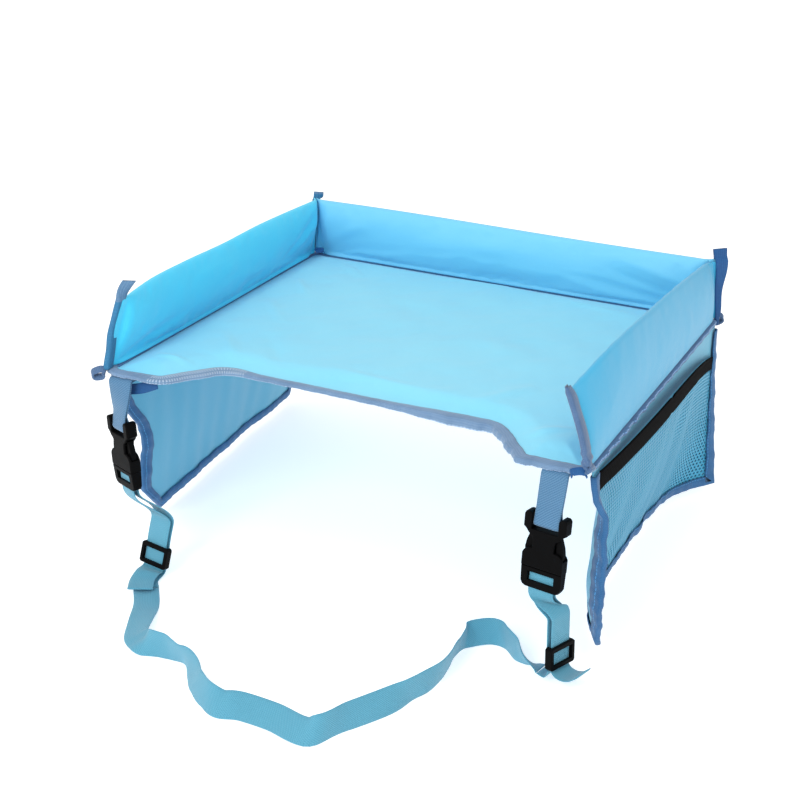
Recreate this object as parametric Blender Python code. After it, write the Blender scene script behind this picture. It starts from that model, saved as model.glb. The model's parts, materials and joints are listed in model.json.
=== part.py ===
"""Car seat tray table: a padded lap tray with soft walls, side pockets and a buckled waist belt.

Metres, +Z up. X runs across the tray, the leg cut-out faces -Y, and the origin is the
middle of the tray's underside. Each sub-part is one named object.
"""

import math

import bmesh
import bpy
import numpy as np
from mathutils import Matrix, Vector

# Whole tray
TRAY_WIDTH = 0.400
TRAY_DEPTH = 0.350
CORNER_RADIUS = 0.012
LEG_CUT_DEPTH = 0.044
LOBE_WIDTH = 0.053
LEG_CUT_SLOPE = 0.034
LOBE_RADIUS = 0.014
WAIST_RADIUS = 0.022
LEAST_RADIUS = 0.002

# Layers of the base
GAP = 0.0003
FABRIC = 0.0006
BOARD = 0.0025
FOAM_PAD = 0.004
FLANGE_WIDTH = 0.0088
PAD_SLOPE_WIDTH = 0.005
PAD_EDGE_ROOM = 0.0012
BINDING_WIDTH = 0.008
BINDING_TAPE = 0.0007
RIM_RISE = 0.0013

# Walls
WALL_BULGE = 0.010
WALL_SEAM_HALF = 0.0015
WALL_SETBACK = 0.0028
WALL_CORNER_SETBACK = 0.0062
WALL_FIN = 0.0066
WALL_END_SEAM = 0.0085
WALL_END_ROUND = 0.038
WALL_FRONT_SETBACK = 0.002
WALL_CORNER_EASE = 0.009
LEFT_WALL_TOPS = (0.0670, 0.0695, 0.0665, 0.0625, 0.0575)
RIGHT_WALL_TOPS = (0.0610, 0.0715, 0.0700, 0.0660, 0.0580)
BACK_WALL_TOPS = (0.0575, 0.0605, 0.0593, 0.0582, 0.0580)
WALL_LEAN = 0.0080
WALL_END_LEAN = 0.0165
CORNER_LEAN = 0.0050
LEFT_TAIL = 0.013
RIGHT_TAIL = 0.002
BACK_TAIL = 0.009
END_BINDING_LEG = 0.007
WALL_LEVEL_SHARES = (0.0, 0.05, 0.14, 0.28, 0.45, 0.62, 0.78, 0.90, 0.97, 1.0)
OUTER_BULGE_SHARE = 0.45
CORNER_BULGE_SHARE = 0.43
BULGE_SKEW = 1.4
BULGE_POWER = 0.7
LEAN_POWER = 1.25
SIDE_WALL_TOP_PLACE_SHARES = (0, 0.17, 0.43, 0.69, 1)
BACK_WALL_TOP_PLACE_SHARES = (0, 0.22, 0.45, 0.75, 1)
SIDE_WALL_ROW_SHARES = (0.32, 0.5, 0.68, 0.85)
BACK_WALL_ROW_SHARES = (0.15, 0.32, 0.5, 0.68, 0.85)
END_ROUND_ROW_SHARES = (0, 0.06, 0.2, 0.5, 1)
SIDE_WALL_FULL_SHARES = (0, 0, 0.42, 0.72, 0.9, 0.98, 1, 1, 1, 1, 1, CORNER_BULGE_SHARE)
CORNER_TURN_SHARES = (0.33, 0.62, 0.80)
CORNER_FULL_SHARES = (CORNER_BULGE_SHARE, CORNER_BULGE_SHARE, CORNER_BULGE_SHARE * 0.75)
END_RIBBON_ROW_SHARES = (0, 0.2, 0.4, 0.6, 0.8, 1)
TOP_SLOPE_SHARES = ((0, 0), (1, 0), (1.30, 0.45), (1.60, 0.86), (2, 1))
FLAP_SLOPE_SHARE = 0.004
TAB_BEND_SHARES = (0.33, 0.66, 1)
WRAP_START_SHARE = -0.12
WRAP_SPAN_SHARE = 1.24

# Side flaps with mesh pockets
FLAP_DROP = 0.150
FLAP_CLOTH = 0.0008
FLAP_MESH = 0.0006
FLAP_BAND = 0.0010
FLAP_BAND_WIDTH = 0.016
FLAP_SEAM_START = 0.0045
FLAP_TAPE_ROOM = 0.0007
FLAP_NET_ROOM = 0.0005
FLAP_EDGE_ROOM = 0.0006
FLAP_BAND_ROOM = 0.0007
POCKET_BULGE = 0.0095
FLAP_FRONT_SETBACK = 0.012
FLAP_BACK_SETBACK = 0.004
HINGE_SETBACK = 0.0015
BAND_FRONT_DROP = 0.0048
BAND_BACK_DROP = 0.0245
FLAP_DROP_SHARES = (0.0, 0.12, 0.28, 0.43, 0.57, 0.68, 0.80, 0.92, 1.0)
RIGHT_FRONT_INSETS = (0.0, 0.0, 0.009, 0.008, 0.009, 0.005, 0.010, 0.018, 0.024)
LEFT_FRONT_INSETS = (0.0, 0.005, 0.017, 0.034, 0.038, 0.037, 0.037, 0.052, 0.065)
FLAP_ROW_SHARES = (0.0, 0.07, 0.14, 0.22, 0.32, 0.43, 0.54, 0.64, 0.74, 0.84, 0.93, 1.0)
FLAP_COLUMN_SHARES = (
    0.0, 0.013, 0.026, 0.06, 0.11, 0.2, 0.32, 0.45, 0.58, 0.7, 0.8, 0.89, 0.95, 0.974, 0.987, 1.0,
)
FLAP_MOUTH_ROWS = 3
FLAP_LENGTH_SHARES = (0.0, 0.08, 0.2, 0.45, 0.65, 0.8, 0.9, 1.0)
RIGHT_FLARES = (0.0065, -0.0065, -0.0190, -0.0215, -0.0215, -0.0185, -0.0090, 0.0125)
LEFT_FLARES = (0.0045, 0.0065, 0.010, 0.0165, 0.0205, 0.0230, 0.0245, 0.0265)
RIGHT_CURLS = (0.0, 0.004, 0.011, 0.012, 0.012, 0.011, 0.008, 0.003, 0.0)
LEFT_CURLS = (0.0, 0.0, 0.001, 0.002, 0.002, 0.002, 0.001, 0.0, 0.0)
FLAP_CURL_LENGTH = 0.030
FLAP_BELLY = 0.004
FLARE_POWER_SHARE = 1.4

# Webbing
WEB_WIDTH = 0.020
WEB = 0.0012
PLY_PITCH = 0.0040
TAB_PLY_PITCH = 0.0015
TAB_RIGHT_INSET = 0.0238
TAB_LEFT_INSET = 0.0178
TAB_HIDDEN = 0.0085
TAB_FRONT = 0.0034
TAB_BEND = 0.0030
TAB_TURN_SHARES = (0.2, 0.5, 0.8, 1.0)
FLOOR_DROP = 0.160

# Buckle, in its own frame: x across, y front to back, z up from the socket's mouth
BUCKLE_HALF = 0.0162
BUCKLE_THICK = 0.0095
BUCKLE_BEVEL = 0.0009
SOCKET_BAND = 0.0095
SOCKET_ARC_HALF = 0.0086
SOCKET_ARC_LOW = 0.0150
SOCKET_ARC_HIGH = 0.0190
SOCKET_WINDOW_TOP = 0.0255
SOCKET_WAIST_HALF = 0.0122
SOCKET_BODY_TOP = 0.0289
SOCKET_HORN_FOOT = 0.0297
SOCKET_HORN_HALF = 0.01675
SOCKET_HORN_INNER = 0.0104
SOCKET_HORN_TOP = 0.0415
SOCKET_BAR_Z = 0.0340
SOCKET_BAR_RADIUS = 0.0020
SOCKET_ROOM_HALF = 0.0138
SOCKET_ROOM_DEPTH = 0.0060
SOCKET_ROOM_TOP = 0.0270
INSERT_HALF = 0.0160
INSERT_BOTTOM = 0.0165
INSERT_THICK = 0.0092
INSERT_FOOT_THICK = 0.0068
INSERT_CORNER = 0.0040
INSERT_TOP_GAP = 0.0003
INSERT_WINDOW_LOW = 0.0108
INSERT_WINDOW_HIGH = 0.0036
LADDER_Y = 0.0010
LADDER_Z = 0.0062
LADDER_RADIUS = 0.0011
COLLAR_HEIGHT = 0.0032
COLLAR_SIDE_GAP = 0.0005
TONGUE_HALF = 0.0026
TONGUE_TOP = 0.0215
TONGUE_THICK = 0.0036
PRONG_X = 0.0103
PRONG_Z = 0.0016
PRONG_ROOT = 0.0014
PRONG_ARM_HALF = 0.0011
PRONG_THICK = 0.0046
PRONG_SHOULDER = 0.0098
PRONG_TOP = 0.0252
PRONG_PAD = 0.0153
PRONG_PAD_Z = 0.0135
PRONG_TIP_OUT = 0.0122
PRONG_TIP_IN = 0.0092
PRONG_INNER = 0.0094

# Slider, in its own frame: x across, z along the strap
SLIDER_WIDTH = 0.0265
SLIDER_HEIGHT = 0.0175
SLIDER_SIDE = 0.0029
SLIDER_BAR = 0.0022
SLIDER_END_BAR = 0.0034
SLIDER_MID_BAR = 0.0026
SLIDER_BEVEL = 0.0006

# Where the buckles and sliders hang and the belt's ends run, from the tray's front corner on that side
RIGHT_BUCKLE_TOP = (-0.0257, -0.0032, -0.0327)
RIGHT_BUCKLE_FOOT = (-0.0262, -0.0074, -0.0905)
LEFT_BUCKLE_TOP = (0.0176, -0.0032, -0.0330)
LEFT_BUCKLE_FOOT = (0.0230, -0.0042, -0.0907)
RIGHT_BUCKLE_TURN_DEG = -9.0
LEFT_BUCKLE_TURN_DEG = -28.0
RIGHT_SLIDER_CENTRE = (-0.0095, -0.009, -0.1385)
LEFT_SLIDER_CENTRE = (0.0490, -0.0085, -0.1440)
RIGHT_SLIDER_UP = (-0.06, 0.06, 0.99)
LEFT_SLIDER_UP = (0.08, 0.26, 0.96)
RIGHT_SLIDER_TURN_DEG = 70.0
LEFT_SLIDER_TURN_DEG = -8.0
SLIDER_TRAVEL = 0.014
STRAP_CLEAR = 0.0015
TWIST_STEPS = 8
JOIN_GAP = 0.0009
LEFT_TAIL_ROUTE = (
    (0.0488, -0.0215, -0.1535), (0.0500, -0.030, -0.1548), (0.0570, -0.045, -0.1550),
)
RIGHT_TAIL_ROUTE = (
    (-0.0055, -0.0108, -0.1512), (0.0000, -0.0128, -0.1520), (0.0065, -0.0150, -0.1495),
    (0.0115, -0.0165, -0.1450),
)
LEFT_RUN_ROUTE = (
    (0.0500, -0.026, -0.1590), (0.0560, -0.035, -0.1592),
)
RIGHT_RUN_ROUTE = (
    (-0.0124, -0.0092, -0.1528), (-0.0162, -0.01065, -0.1558), (-0.021, -0.010, -0.1545),
)
LEFT_RUN_TURN_SHARES = (0.5, 0.9)
RIGHT_RUN_TURN_SHARES = (0.0, 0.1, 0.3)
LEFT_TAIL_TURN_SHARES = (0.3, 0.7, 1.0)
RIGHT_TAIL_TURN_SHARES = (0.1, 0.3, 0.7, 1.0)
LEFT_TAIL_ACROSS = (0.96, -0.27, 0.0)
RIGHT_TAIL_ACROSS = (0.28, 0.96, 0.0)
# Where the belt lies: each row holds one edge of it, then the other, from the left to the right
BELT_EDGES = (
    ((-0.1389, -0.2320, -0.1590), (-0.1191, -0.2327, -0.1590)),
    ((-0.1281, -0.2547, -0.1585), (-0.1085, -0.2567, -0.1547)),
    ((-0.1187, -0.2739, -0.1590), (-0.1003, -0.2764, -0.1521)),
    ((-0.1092, -0.2855, -0.1590), (-0.0923, -0.2810, -0.1490)),
    ((-0.0981, -0.2914, -0.1590), (-0.0870, -0.2850, -0.1440)),
    ((-0.0815, -0.2890, -0.1590), (-0.0745, -0.2870, -0.1410)),
    ((-0.0693, -0.2880, -0.1590), (-0.0642, -0.2920, -0.1410)),
    ((-0.0599, -0.2892, -0.1590), (-0.0510, -0.2969, -0.1430)),
    ((-0.0482, -0.3024, -0.1590), (-0.0366, -0.3054, -0.1435)),
    ((-0.0384, -0.3132, -0.1590), (-0.0243, -0.3193, -0.1462)),
    ((-0.0239, -0.3267, -0.1590), (-0.0104, -0.3268, -0.1445)),
    ((-0.0076, -0.3365, -0.1590), (0.0020, -0.3247, -0.1465)),
    ((0.0100, -0.3325, -0.1590), (0.0180, -0.3190, -0.1470)),
    ((0.0319, -0.3333, -0.1590), (0.0400, -0.3195, -0.1470)),
    ((0.0648, -0.3384, -0.1590), (0.0703, -0.3249, -0.1455)),
    ((0.0827, -0.3115, -0.1590), (0.0840, -0.2989, -0.1440)),
    ((0.1001, -0.2815, -0.1590), (0.1000, -0.2702, -0.1430)),
    ((0.1078, -0.2585, -0.1590), (0.1096, -0.2552, -0.1400)),
    ((0.1140, -0.2440, -0.1590), (0.1150, -0.2414, -0.1396)),
    ((0.1165, -0.2263, -0.1590), (0.1190, -0.2296, -0.1396)),
    ((0.1152, -0.2065, -0.1590), (0.1191, -0.2151, -0.1420)),
    ((0.1130, -0.1910, -0.1590), (0.1176, -0.1990, -0.1425)),
    ((0.1140, -0.1815, -0.1590), (0.1170, -0.1820, -0.1400)),
    ((0.1165, -0.1765, -0.1590), (0.1150, -0.1692, -0.1410)),
    ((0.1240, -0.1685, -0.1590), (0.1207, -0.1610, -0.1410)),
    ((0.1340, -0.1625, -0.1590), (0.1285, -0.1565, -0.1410)),
    ((0.1446, -0.1650, -0.1590), (0.1370, -0.1590, -0.1420)),
    ((0.1575, -0.1766, -0.1590), (0.1520, -0.1720, -0.1410)),
    ((0.1705, -0.1770, -0.1587), (0.1655, -0.1900, -0.1443)),
)
STRAP_STEPS = 2

# Counts
ARC_STEPS = 4
BAND_COLUMNS = 14
WRAP_STEPS = 6

HALF_WIDTH = TRAY_WIDTH / 2
HALF_DEPTH = TRAY_DEPTH / 2
BOTTOM_TOP = FABRIC
FLANGE_LOW = RIM_RISE + BOTTOM_TOP + GAP
FLANGE_TOP = FLANGE_LOW + FABRIC
BOARD_LOW = BOTTOM_TOP + GAP
PAD_LOW = BOARD_LOW + BOARD + GAP
COVER_LOW = PAD_LOW + FOAM_PAD + GAP
COVER_TOP = COVER_LOW + FABRIC
LIP_TOP = FLANGE_TOP + GAP + BINDING_TAPE
LIP_BOTTOM = RIM_RISE - GAP - BINDING_TAPE
WALL_FOOT = LIP_TOP + GAP
HINGE_X = HALF_WIDTH - HINGE_SETBACK
HINGE_Z = LIP_BOTTOM - GAP - FLAP_CLOTH / 2
FLAP_FRONT_Y = -HALF_DEPTH + FLAP_FRONT_SETBACK
FLAP_BACK_Y = HALF_DEPTH - FLAP_BACK_SETBACK

TOP_BLUE = ("sky_cloth", (0.24, 0.66, 0.93), 0.62, 0.0)
WALL_BLUE = ("wall_cloth", (0.12, 0.50, 0.84), 0.62, 0.0)
TAPE_BLUE = ("tape_cloth", (0.20, 0.34, 0.62), 0.70, 0.0)
WEB_BLUE = ("belt_webbing", (0.11, 0.47, 0.70), 0.66, 0.0)
TAB_BLUE = ("tab_webbing", (0.22, 0.40, 0.66), 0.66, 0.0)
MESH_BLUE = ("pocket_mesh", (0.10, 0.40, 0.60), 0.70, 0.0)
LINING_BLUE = ("lining_cloth", (0.16, 0.50, 0.74), 0.66, 0.0)
BLACK_PLASTIC = ("black_plastic", (0.010, 0.010, 0.011), 0.38, 0.0)
BLACK_ELASTIC = ("black_elastic", (0.008, 0.008, 0.009), 0.75, 0.0)
FOAM_WHITE = ("white_foam", (0.80, 0.80, 0.78), 0.85, 0.0)
BOARD_GREY = ("stiff_board", (0.55, 0.55, 0.53), 0.60, 0.0)


def clear_scene():
    """Remove every object of the scene, so that only the part is left."""
    for obj in list(bpy.data.objects):
        bpy.data.objects.remove(obj, do_unlink=True)


def material_for(finish):
    """The Principled material of a finish, made once."""
    name, colour, roughness, metallic = finish
    found = bpy.data.materials.get(name)
    if found:
        return found
    made = bpy.data.materials.new(name)
    made.use_nodes = True
    shader = made.node_tree.nodes["Principled BSDF"]
    shader.inputs["Base Color"].default_value = (*colour, 1.0)
    shader.inputs["Roughness"].default_value = roughness
    shader.inputs["Metallic"].default_value = metallic
    made.diffuse_color = (*colour, 1.0)
    return made


def split(points, faces):
    """Four-sided faces cut along their shorter diagonal, so that a sheet's two sides bend alike."""
    found = []
    for face in faces:
        if len(face) != 4:
            found.append(face)
            continue
        a, b, c, d = face
        if np.linalg.norm(points[a] - points[c]) <= np.linalg.norm(points[b] - points[d]):
            found += [(a, b, c), (a, c, d)]
        else:
            found += [(a, b, d), (b, c, d)]
    return found


def mesh_object(name, points, faces, finish, origin=(0, 0, 0)):
    """One closed mesh as a named object whose origin is at the point given."""
    mesh = bpy.data.meshes.new(name)
    local = np.asarray(points, float) - np.asarray(origin, float)
    mesh.from_pydata([tuple(p) for p in local], [], split(local, faces))
    sheet = bmesh.new()
    sheet.from_mesh(mesh)
    bmesh.ops.recalc_face_normals(sheet, faces=sheet.faces)
    sheet.to_mesh(mesh)
    sheet.free()
    mesh.materials.append(material_for(finish))
    obj = bpy.data.objects.new(name, mesh)
    obj.location = origin
    bpy.context.scene.collection.objects.link(obj)
    return obj


def quads(rows, columns, start=0, wrap=False):
    """Faces between neighbouring points of a grid, the last column joined to the first if wrap."""
    found = []
    for row in range(rows - 1):
        for column in range(columns if wrap else columns - 1):
            nearby = (column + 1) % columns
            low = start + row * columns
            found.append((low + column, low + nearby, low + columns + nearby, low + columns + column))
    return found


def sheet_object(name, top, bottom, finish, origin=(0, 0, 0)):
    """A closed sheet between two grids of the same shape."""
    rows, columns, _ = top.shape
    points = np.concatenate([top.reshape(-1, 3), bottom.reshape(-1, 3)])
    below = rows * columns
    faces = quads(rows, columns) + quads(rows, columns, below)
    rim = [(0, c) for c in range(columns)] + [(r, columns - 1) for r in range(1, rows)]
    rim += [(rows - 1, c) for c in range(columns - 2, -1, -1)] + [(r, 0) for r in range(rows - 2, 0, -1)]
    index = [r * columns + c for r, c in rim]
    for a, b in zip(index, index[1:] + index[:1]):
        faces.append((a, b, b + below, a + below))
    return mesh_object(name, points, faces, finish, origin)


def tube_object(name, outer, inner, finish):
    """A sleeve open at both ends, between outer and inner rings."""
    rows, columns, _ = outer.shape
    points = np.concatenate([outer.reshape(-1, 3), inner.reshape(-1, 3)])
    below = rows * columns
    faces = quads(rows, columns, 0, True) + quads(rows, columns, below, True)
    for row in (0, rows - 1):
        for column in range(columns):
            a = row * columns + column
            b = row * columns + (column + 1) % columns
            faces.append((a, b, b + below, a + below))
    return mesh_object(name, points, faces, finish)


def loft_object(name, rings, finish, origin=(0, 0, 0)):
    """A solid through closed rings of equal count, its two ends filled."""
    rings = np.asarray(rings)
    rows, columns, _ = rings.shape
    faces = quads(rows, columns, 0, True)
    faces.append(tuple(range(columns)))
    faces.append(tuple(range((rows - 1) * columns, rows * columns)))
    return mesh_object(name, rings.reshape(-1, 3), faces, finish, origin)


def unit(vectors):
    """Vectors scaled to length one along the last axis."""
    vectors = np.asarray(vectors, float)
    return vectors / np.linalg.norm(vectors, axis=-1, keepdims=True)


def curve_at(places, values, wanted):
    """A smooth curve through a table, read at the wanted places."""
    places = np.asarray(places, float)
    values = np.asarray(values, float)
    wanted = np.clip(np.asarray(wanted, float), places[0], places[-1])
    slopes = np.gradient(values, places, axis=0)
    at = np.clip(np.searchsorted(places, wanted, side="right") - 1, 0, len(places) - 2)
    span = places[at + 1] - places[at]
    share = (wanted - places[at]) / span
    if values.ndim > 1:
        share, span = share[..., None], span[..., None]
    start = (1 + 2 * share) * (1 - share) ** 2
    end = share**2 * (3 - 2 * share)
    leave = share * (1 - share) ** 2 * span
    arrive = share**2 * (share - 1) * span
    return start * values[at] + end * values[at + 1] + leave * slopes[at] + arrive * slopes[at + 1]


# Base


def outline_corners():
    """The tray's corners in plan, anticlockwise from the front left, each with its radius."""
    mouth = HALF_WIDTH - LOBE_WIDTH
    floor = mouth - LEG_CUT_SLOPE
    cut_y = -HALF_DEPTH + LEG_CUT_DEPTH
    return (
        (-HALF_WIDTH, -HALF_DEPTH, CORNER_RADIUS),
        (-mouth, -HALF_DEPTH, LOBE_RADIUS),
        (-floor, cut_y, WAIST_RADIUS),
        (floor, cut_y, WAIST_RADIUS),
        (mouth, -HALF_DEPTH, LOBE_RADIUS),
        (HALF_WIDTH, -HALF_DEPTH, CORNER_RADIUS),
        (HALF_WIDTH, HALF_DEPTH, CORNER_RADIUS),
        (-HALF_WIDTH, HALF_DEPTH, CORNER_RADIUS),
    )


def tray_outline(inset):
    """The outline drawn in by inset, with the same count of points for every inset."""
    corners = outline_corners()
    points = []
    for i, (x, y, radius) in enumerate(corners):
        here = np.array((x, y))
        before = np.array(corners[i - 1][:2])
        after = np.array(corners[(i + 1) % len(corners)][:2])
        along, onward = unit(here - before), unit(after - here)
        left, next_left = np.array((-along[1], along[0])), np.array((-onward[1], onward[0]))
        place = here + inset * (left + next_left) / (1 + left @ next_left)
        turn = along[0] * onward[1] - along[1] * onward[0]
        side = math.copysign(1, turn)
        angle = math.acos(max(-1, min(1, along @ onward)))
        radius = max(radius - side * inset, LEAST_RADIUS)
        centre = place - along * radius * math.tan(angle / 2) + left * side * radius
        for step in range(ARC_STEPS + 1):
            swing = side * angle * step / ARC_STEPS
            arm = -left * side * radius
            c, s = math.cos(swing), math.sin(swing)
            points.append(centre + np.array((c * arm[0] - s * arm[1], s * arm[0] + c * arm[1])))
    return np.array(points)


def flat_ring(inset, height):
    """The outline at one inset and height, as a ring of points."""
    plan = tray_outline(inset)
    return np.column_stack([plan, np.full(len(plan), height)])


def build_base():
    """The stiff board, its foam, and the two covers whose flanges meet at the rim."""
    inside = FLANGE_WIDTH + PAD_SLOPE_WIDTH + PAD_EDGE_ROOM
    board_top = BOARD_LOW + BOARD
    loft_object("base_board", [flat_ring(inside, BOARD_LOW), flat_ring(inside, board_top)], BOARD_GREY)
    pad_rings = [flat_ring(inside, PAD_LOW), flat_ring(inside, PAD_LOW + FOAM_PAD)]
    loft_object("base_foam_pad", pad_rings, FOAM_WHITE)
    turns = ((0, RIM_RISE), (FLANGE_WIDTH, RIM_RISE), (FLANGE_WIDTH + PAD_SLOPE_WIDTH, 0))
    lows = [flat_ring(across, height) for across, height in turns]
    highs = [flat_ring(across, height + BOTTOM_TOP) for across, height in turns]
    loft_object("base_bottom_cover", lows[::-1] + highs, LINING_BLUE)
    rise = COVER_TOP - FLANGE_TOP
    tops = []
    for across_share, up_share in TOP_SLOPE_SHARES:
        flange = FLANGE_WIDTH * min(across_share, 1)
        slope = PAD_SLOPE_WIDTH * max(across_share - 1, 0)
        tops.append(flat_ring(flange + slope, FLANGE_TOP + rise * up_share))
    lows = [ring - np.array((0, 0, FABRIC)) for ring in tops]
    loft_object("base_top_cover", lows[::-1] + tops, TOP_BLUE)


def edge_tape(name, plan, outward):
    """A folded tape along a stretch of the rim, round both flanges."""
    reach = GAP + BINDING_TAPE
    round_off = BINDING_TAPE * 0.8
    profile = (
        (-BINDING_WIDTH, LIP_BOTTOM), (reach - round_off, LIP_BOTTOM), (reach, LIP_BOTTOM + round_off),
        (reach, LIP_TOP - round_off), (reach - round_off, LIP_TOP), (-BINDING_WIDTH, LIP_TOP),
        (-BINDING_WIDTH, LIP_TOP - BINDING_TAPE), (GAP, LIP_TOP - BINDING_TAPE),
        (GAP, LIP_BOTTOM + BINDING_TAPE), (-BINDING_WIDTH, LIP_BOTTOM + BINDING_TAPE),
    )
    rings = []
    for place, away in zip(plan, outward):
        rings.append([(*(place + away * out), height) for out, height in profile])
    return loft_object(name, rings, TAPE_BLUE)


def build_edge_bindings():
    """Front, right, back and left runs of the rim's tape, with a small gap at each join."""
    plan = tray_outline(0)
    outward = unit(plan - tray_outline(GAP))
    per = ARC_STEPS + 1
    edge_tape("front_edge_binding", plan[: 6 * per], outward[: 6 * per])
    edge_tape("back_edge_binding", plan[6 * per :], outward[6 * per :])
    for name, a, b in (("right_edge_binding", 6 * per - 1, 6 * per), ("left_edge_binding", 8 * per - 1, 0)):
        along = unit(plan[b] - plan[a])
        ends = np.array([plan[a] + along * GAP, plan[b] - along * GAP])
        edge_tape(name, ends, [outward[a], outward[b]])


# Walls


def bulge_share(level):
    """How full a wall is at a share of its height: thin at its foot, round at its top."""
    return math.sin(math.pi * level**BULGE_SKEW) ** BULGE_POWER if 0 < level < 1 else 0.0


def wall_ring(station, skin, lowest=0):
    """One closed section of a wall; skin draws it in on every side."""
    base, inward, lean, top, bulge, half_out, half_in = station
    foot = WALL_FOOT + skin + lowest
    tall = top - skin - foot
    near, far = [], []
    for level in WALL_LEVEL_SHARES:
        height = foot + tall * level
        share = (height - WALL_FOOT) / (top - WALL_FOOT)
        full = bulge_share(level)
        shift = lean * share**LEAN_POWER
        inside = base + inward * (shift + half_in - skin + bulge * full)
        outside = base + inward * (shift - half_out + skin - bulge * full * OUTER_BULGE_SHARE)
        near.append((*inside, height))
        far.append((*outside, height))
    return near + far[::-1]


def side_wall_stations(side, tops):
    """Sections of a side wall from its free front end to the mitre at the back corner."""
    straight_x = side * (HALF_WIDTH - WALL_SETBACK)
    start_y = -HALF_DEPTH + WALL_FRONT_SETBACK
    turn_radius = (WALL_CORNER_SETBACK - WALL_SETBACK) / (1 - math.cos(math.pi / 4))
    turn_y = HALF_DEPTH - WALL_CORNER_SETBACK - turn_radius * math.sin(math.pi / 4)
    length = turn_y - start_y
    end_share = WALL_END_SEAM / length
    round_share = WALL_END_ROUND / length
    shares = [0] + [end_share + part * round_share for part in END_ROUND_ROW_SHARES]
    shares += [*SIDE_WALL_ROW_SHARES, 1 - WALL_CORNER_EASE / length, 1]
    stations = []
    for share, full in zip(shares, SIDE_WALL_FULL_SHARES):
        eased = max(0, 1 - max(0, share - end_share) / (2.5 * round_share)) ** 2
        lean = WALL_LEAN + (WALL_END_LEAN - WALL_LEAN) * eased
        base = np.array((straight_x, start_y + length * share))
        along = max(0, share - end_share) / (1 - end_share)
        top = float(curve_at(SIDE_WALL_TOP_PLACE_SHARES, tops, along))
        inward = np.array((-side, 0.0))
        half = WALL_SEAM_HALF
        stations.append((base, inward, lean, top, WALL_BULGE * full, half, half))
    return stations + corner_stations(straight_x, turn_y, side, turn_radius, tops[-1], False)


def corner_stations(straight, turn_start, side, turn_radius, top, across):
    """Sections round the quick turn of a wall into the mitre of a back corner."""
    stations = []
    half = WALL_SEAM_HALF
    rows = [(share, full, half, 0) for share, full in zip(CORNER_TURN_SHARES, CORNER_FULL_SHARES)]
    rows += [(1, 0, half, 1.5 * FABRIC + GAP), (1, 0, WALL_FIN, 1.4 * FABRIC + GAP), (1, 0, WALL_FIN, GAP)]
    for share, full, half_out, short in rows:
        angle = share * math.pi / 4
        lean = WALL_LEAN + (CORNER_LEAN - WALL_LEAN) * share
        sine, cosine = math.sin(angle), math.cos(angle)
        if across:
            base = np.array((side * (turn_start + turn_radius * sine), straight - turn_radius * (1 - cosine)))
            inward = np.array((-side * sine, -cosine))
            onward = np.array((side * cosine, -sine))
        else:
            base = np.array((straight - side * turn_radius * (1 - cosine), turn_start + turn_radius * sine))
            inward = np.array((-side * cosine, -sine))
            onward = np.array((-side * sine, cosine))
        base = base - onward * short
        stations.append((base, inward, lean, top, WALL_BULGE * full, half_out, half))
    return stations


def back_wall_stations():
    """Sections of the back wall between its two mitres."""
    straight_y = HALF_DEPTH - WALL_SETBACK
    turn_radius = (WALL_CORNER_SETBACK - WALL_SETBACK) / (1 - math.cos(math.pi / 4))
    turn_x = HALF_WIDTH - WALL_CORNER_SETBACK - turn_radius * math.sin(math.pi / 4)
    half = WALL_SEAM_HALF
    left = corner_stations(straight_y, turn_x, -1, turn_radius, BACK_WALL_TOPS[0], True)[::-1]
    right = corner_stations(straight_y, turn_x, 1, turn_radius, BACK_WALL_TOPS[-1], True)
    middle = []
    ease = WALL_CORNER_EASE / (2 * turn_x)
    for share in (0, ease, *BACK_WALL_ROW_SHARES, 1 - ease, 1):
        full = CORNER_BULGE_SHARE if share in (0, 1) else 1
        base = np.array((-turn_x + 2 * turn_x * share, straight_y))
        top = float(curve_at(BACK_WALL_TOP_PLACE_SHARES, BACK_WALL_TOPS, share))
        middle.append((base, np.array((0.0, -1.0)), WALL_LEAN, top, WALL_BULGE * full, half, half))
    return left + middle + right


def build_wall(label, stations, foam_slice):
    """A wall's cloth sleeve and the foam bolster that fills it."""
    outer = np.array([wall_ring(station, 0) for station in stations])
    inner = []
    for station in stations:
        base, inward, lean, top, bulge, _, half_in = station
        inner.append(wall_ring((base, inward, lean, top, bulge, half_in, half_in), FABRIC))
    tube_object(f"{label}_wall_cover", outer, np.array(inner), WALL_BLUE)
    foam = [wall_ring(station, FABRIC + GAP) for station in stations[foam_slice]]
    loft_object(f"{label}_wall_foam", foam, FOAM_WHITE)


def folded_ribbon(name, line, across, inward, half_room, depth):
    """An upright ribbon folded round a wall's end: a U in plan, open towards the wall."""
    wide = half_room + BINDING_TAPE
    nose = GAP + BINDING_TAPE
    profile = (
        (-wide, depth), (-wide, -nose / 2), (-wide / 2, -nose), (wide / 2, -nose), (wide, -nose / 2),
        (wide, depth), (half_room, depth), (half_room, -GAP), (-half_room, -GAP), (-half_room, depth),
    )
    rings = []
    for place in line:
        rings.append([(*(place[:2] + across * a + inward * b), place[2]) for a, b in profile])
    return loft_object(name, rings, TAPE_BLUE)


def end_line(base, inward, lean, top, tail):
    """The leaning line that an end ribbon follows, from the wall's foot past its top."""
    shares = np.array((*END_RIBBON_ROW_SHARES, 1 + tail / top))
    heights = WALL_FOOT + (top - WALL_FOOT) * shares
    shift = lean * shares**LEAN_POWER
    return [np.array((*(base + inward * s), h)) for s, h in zip(shift, heights)]


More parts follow.
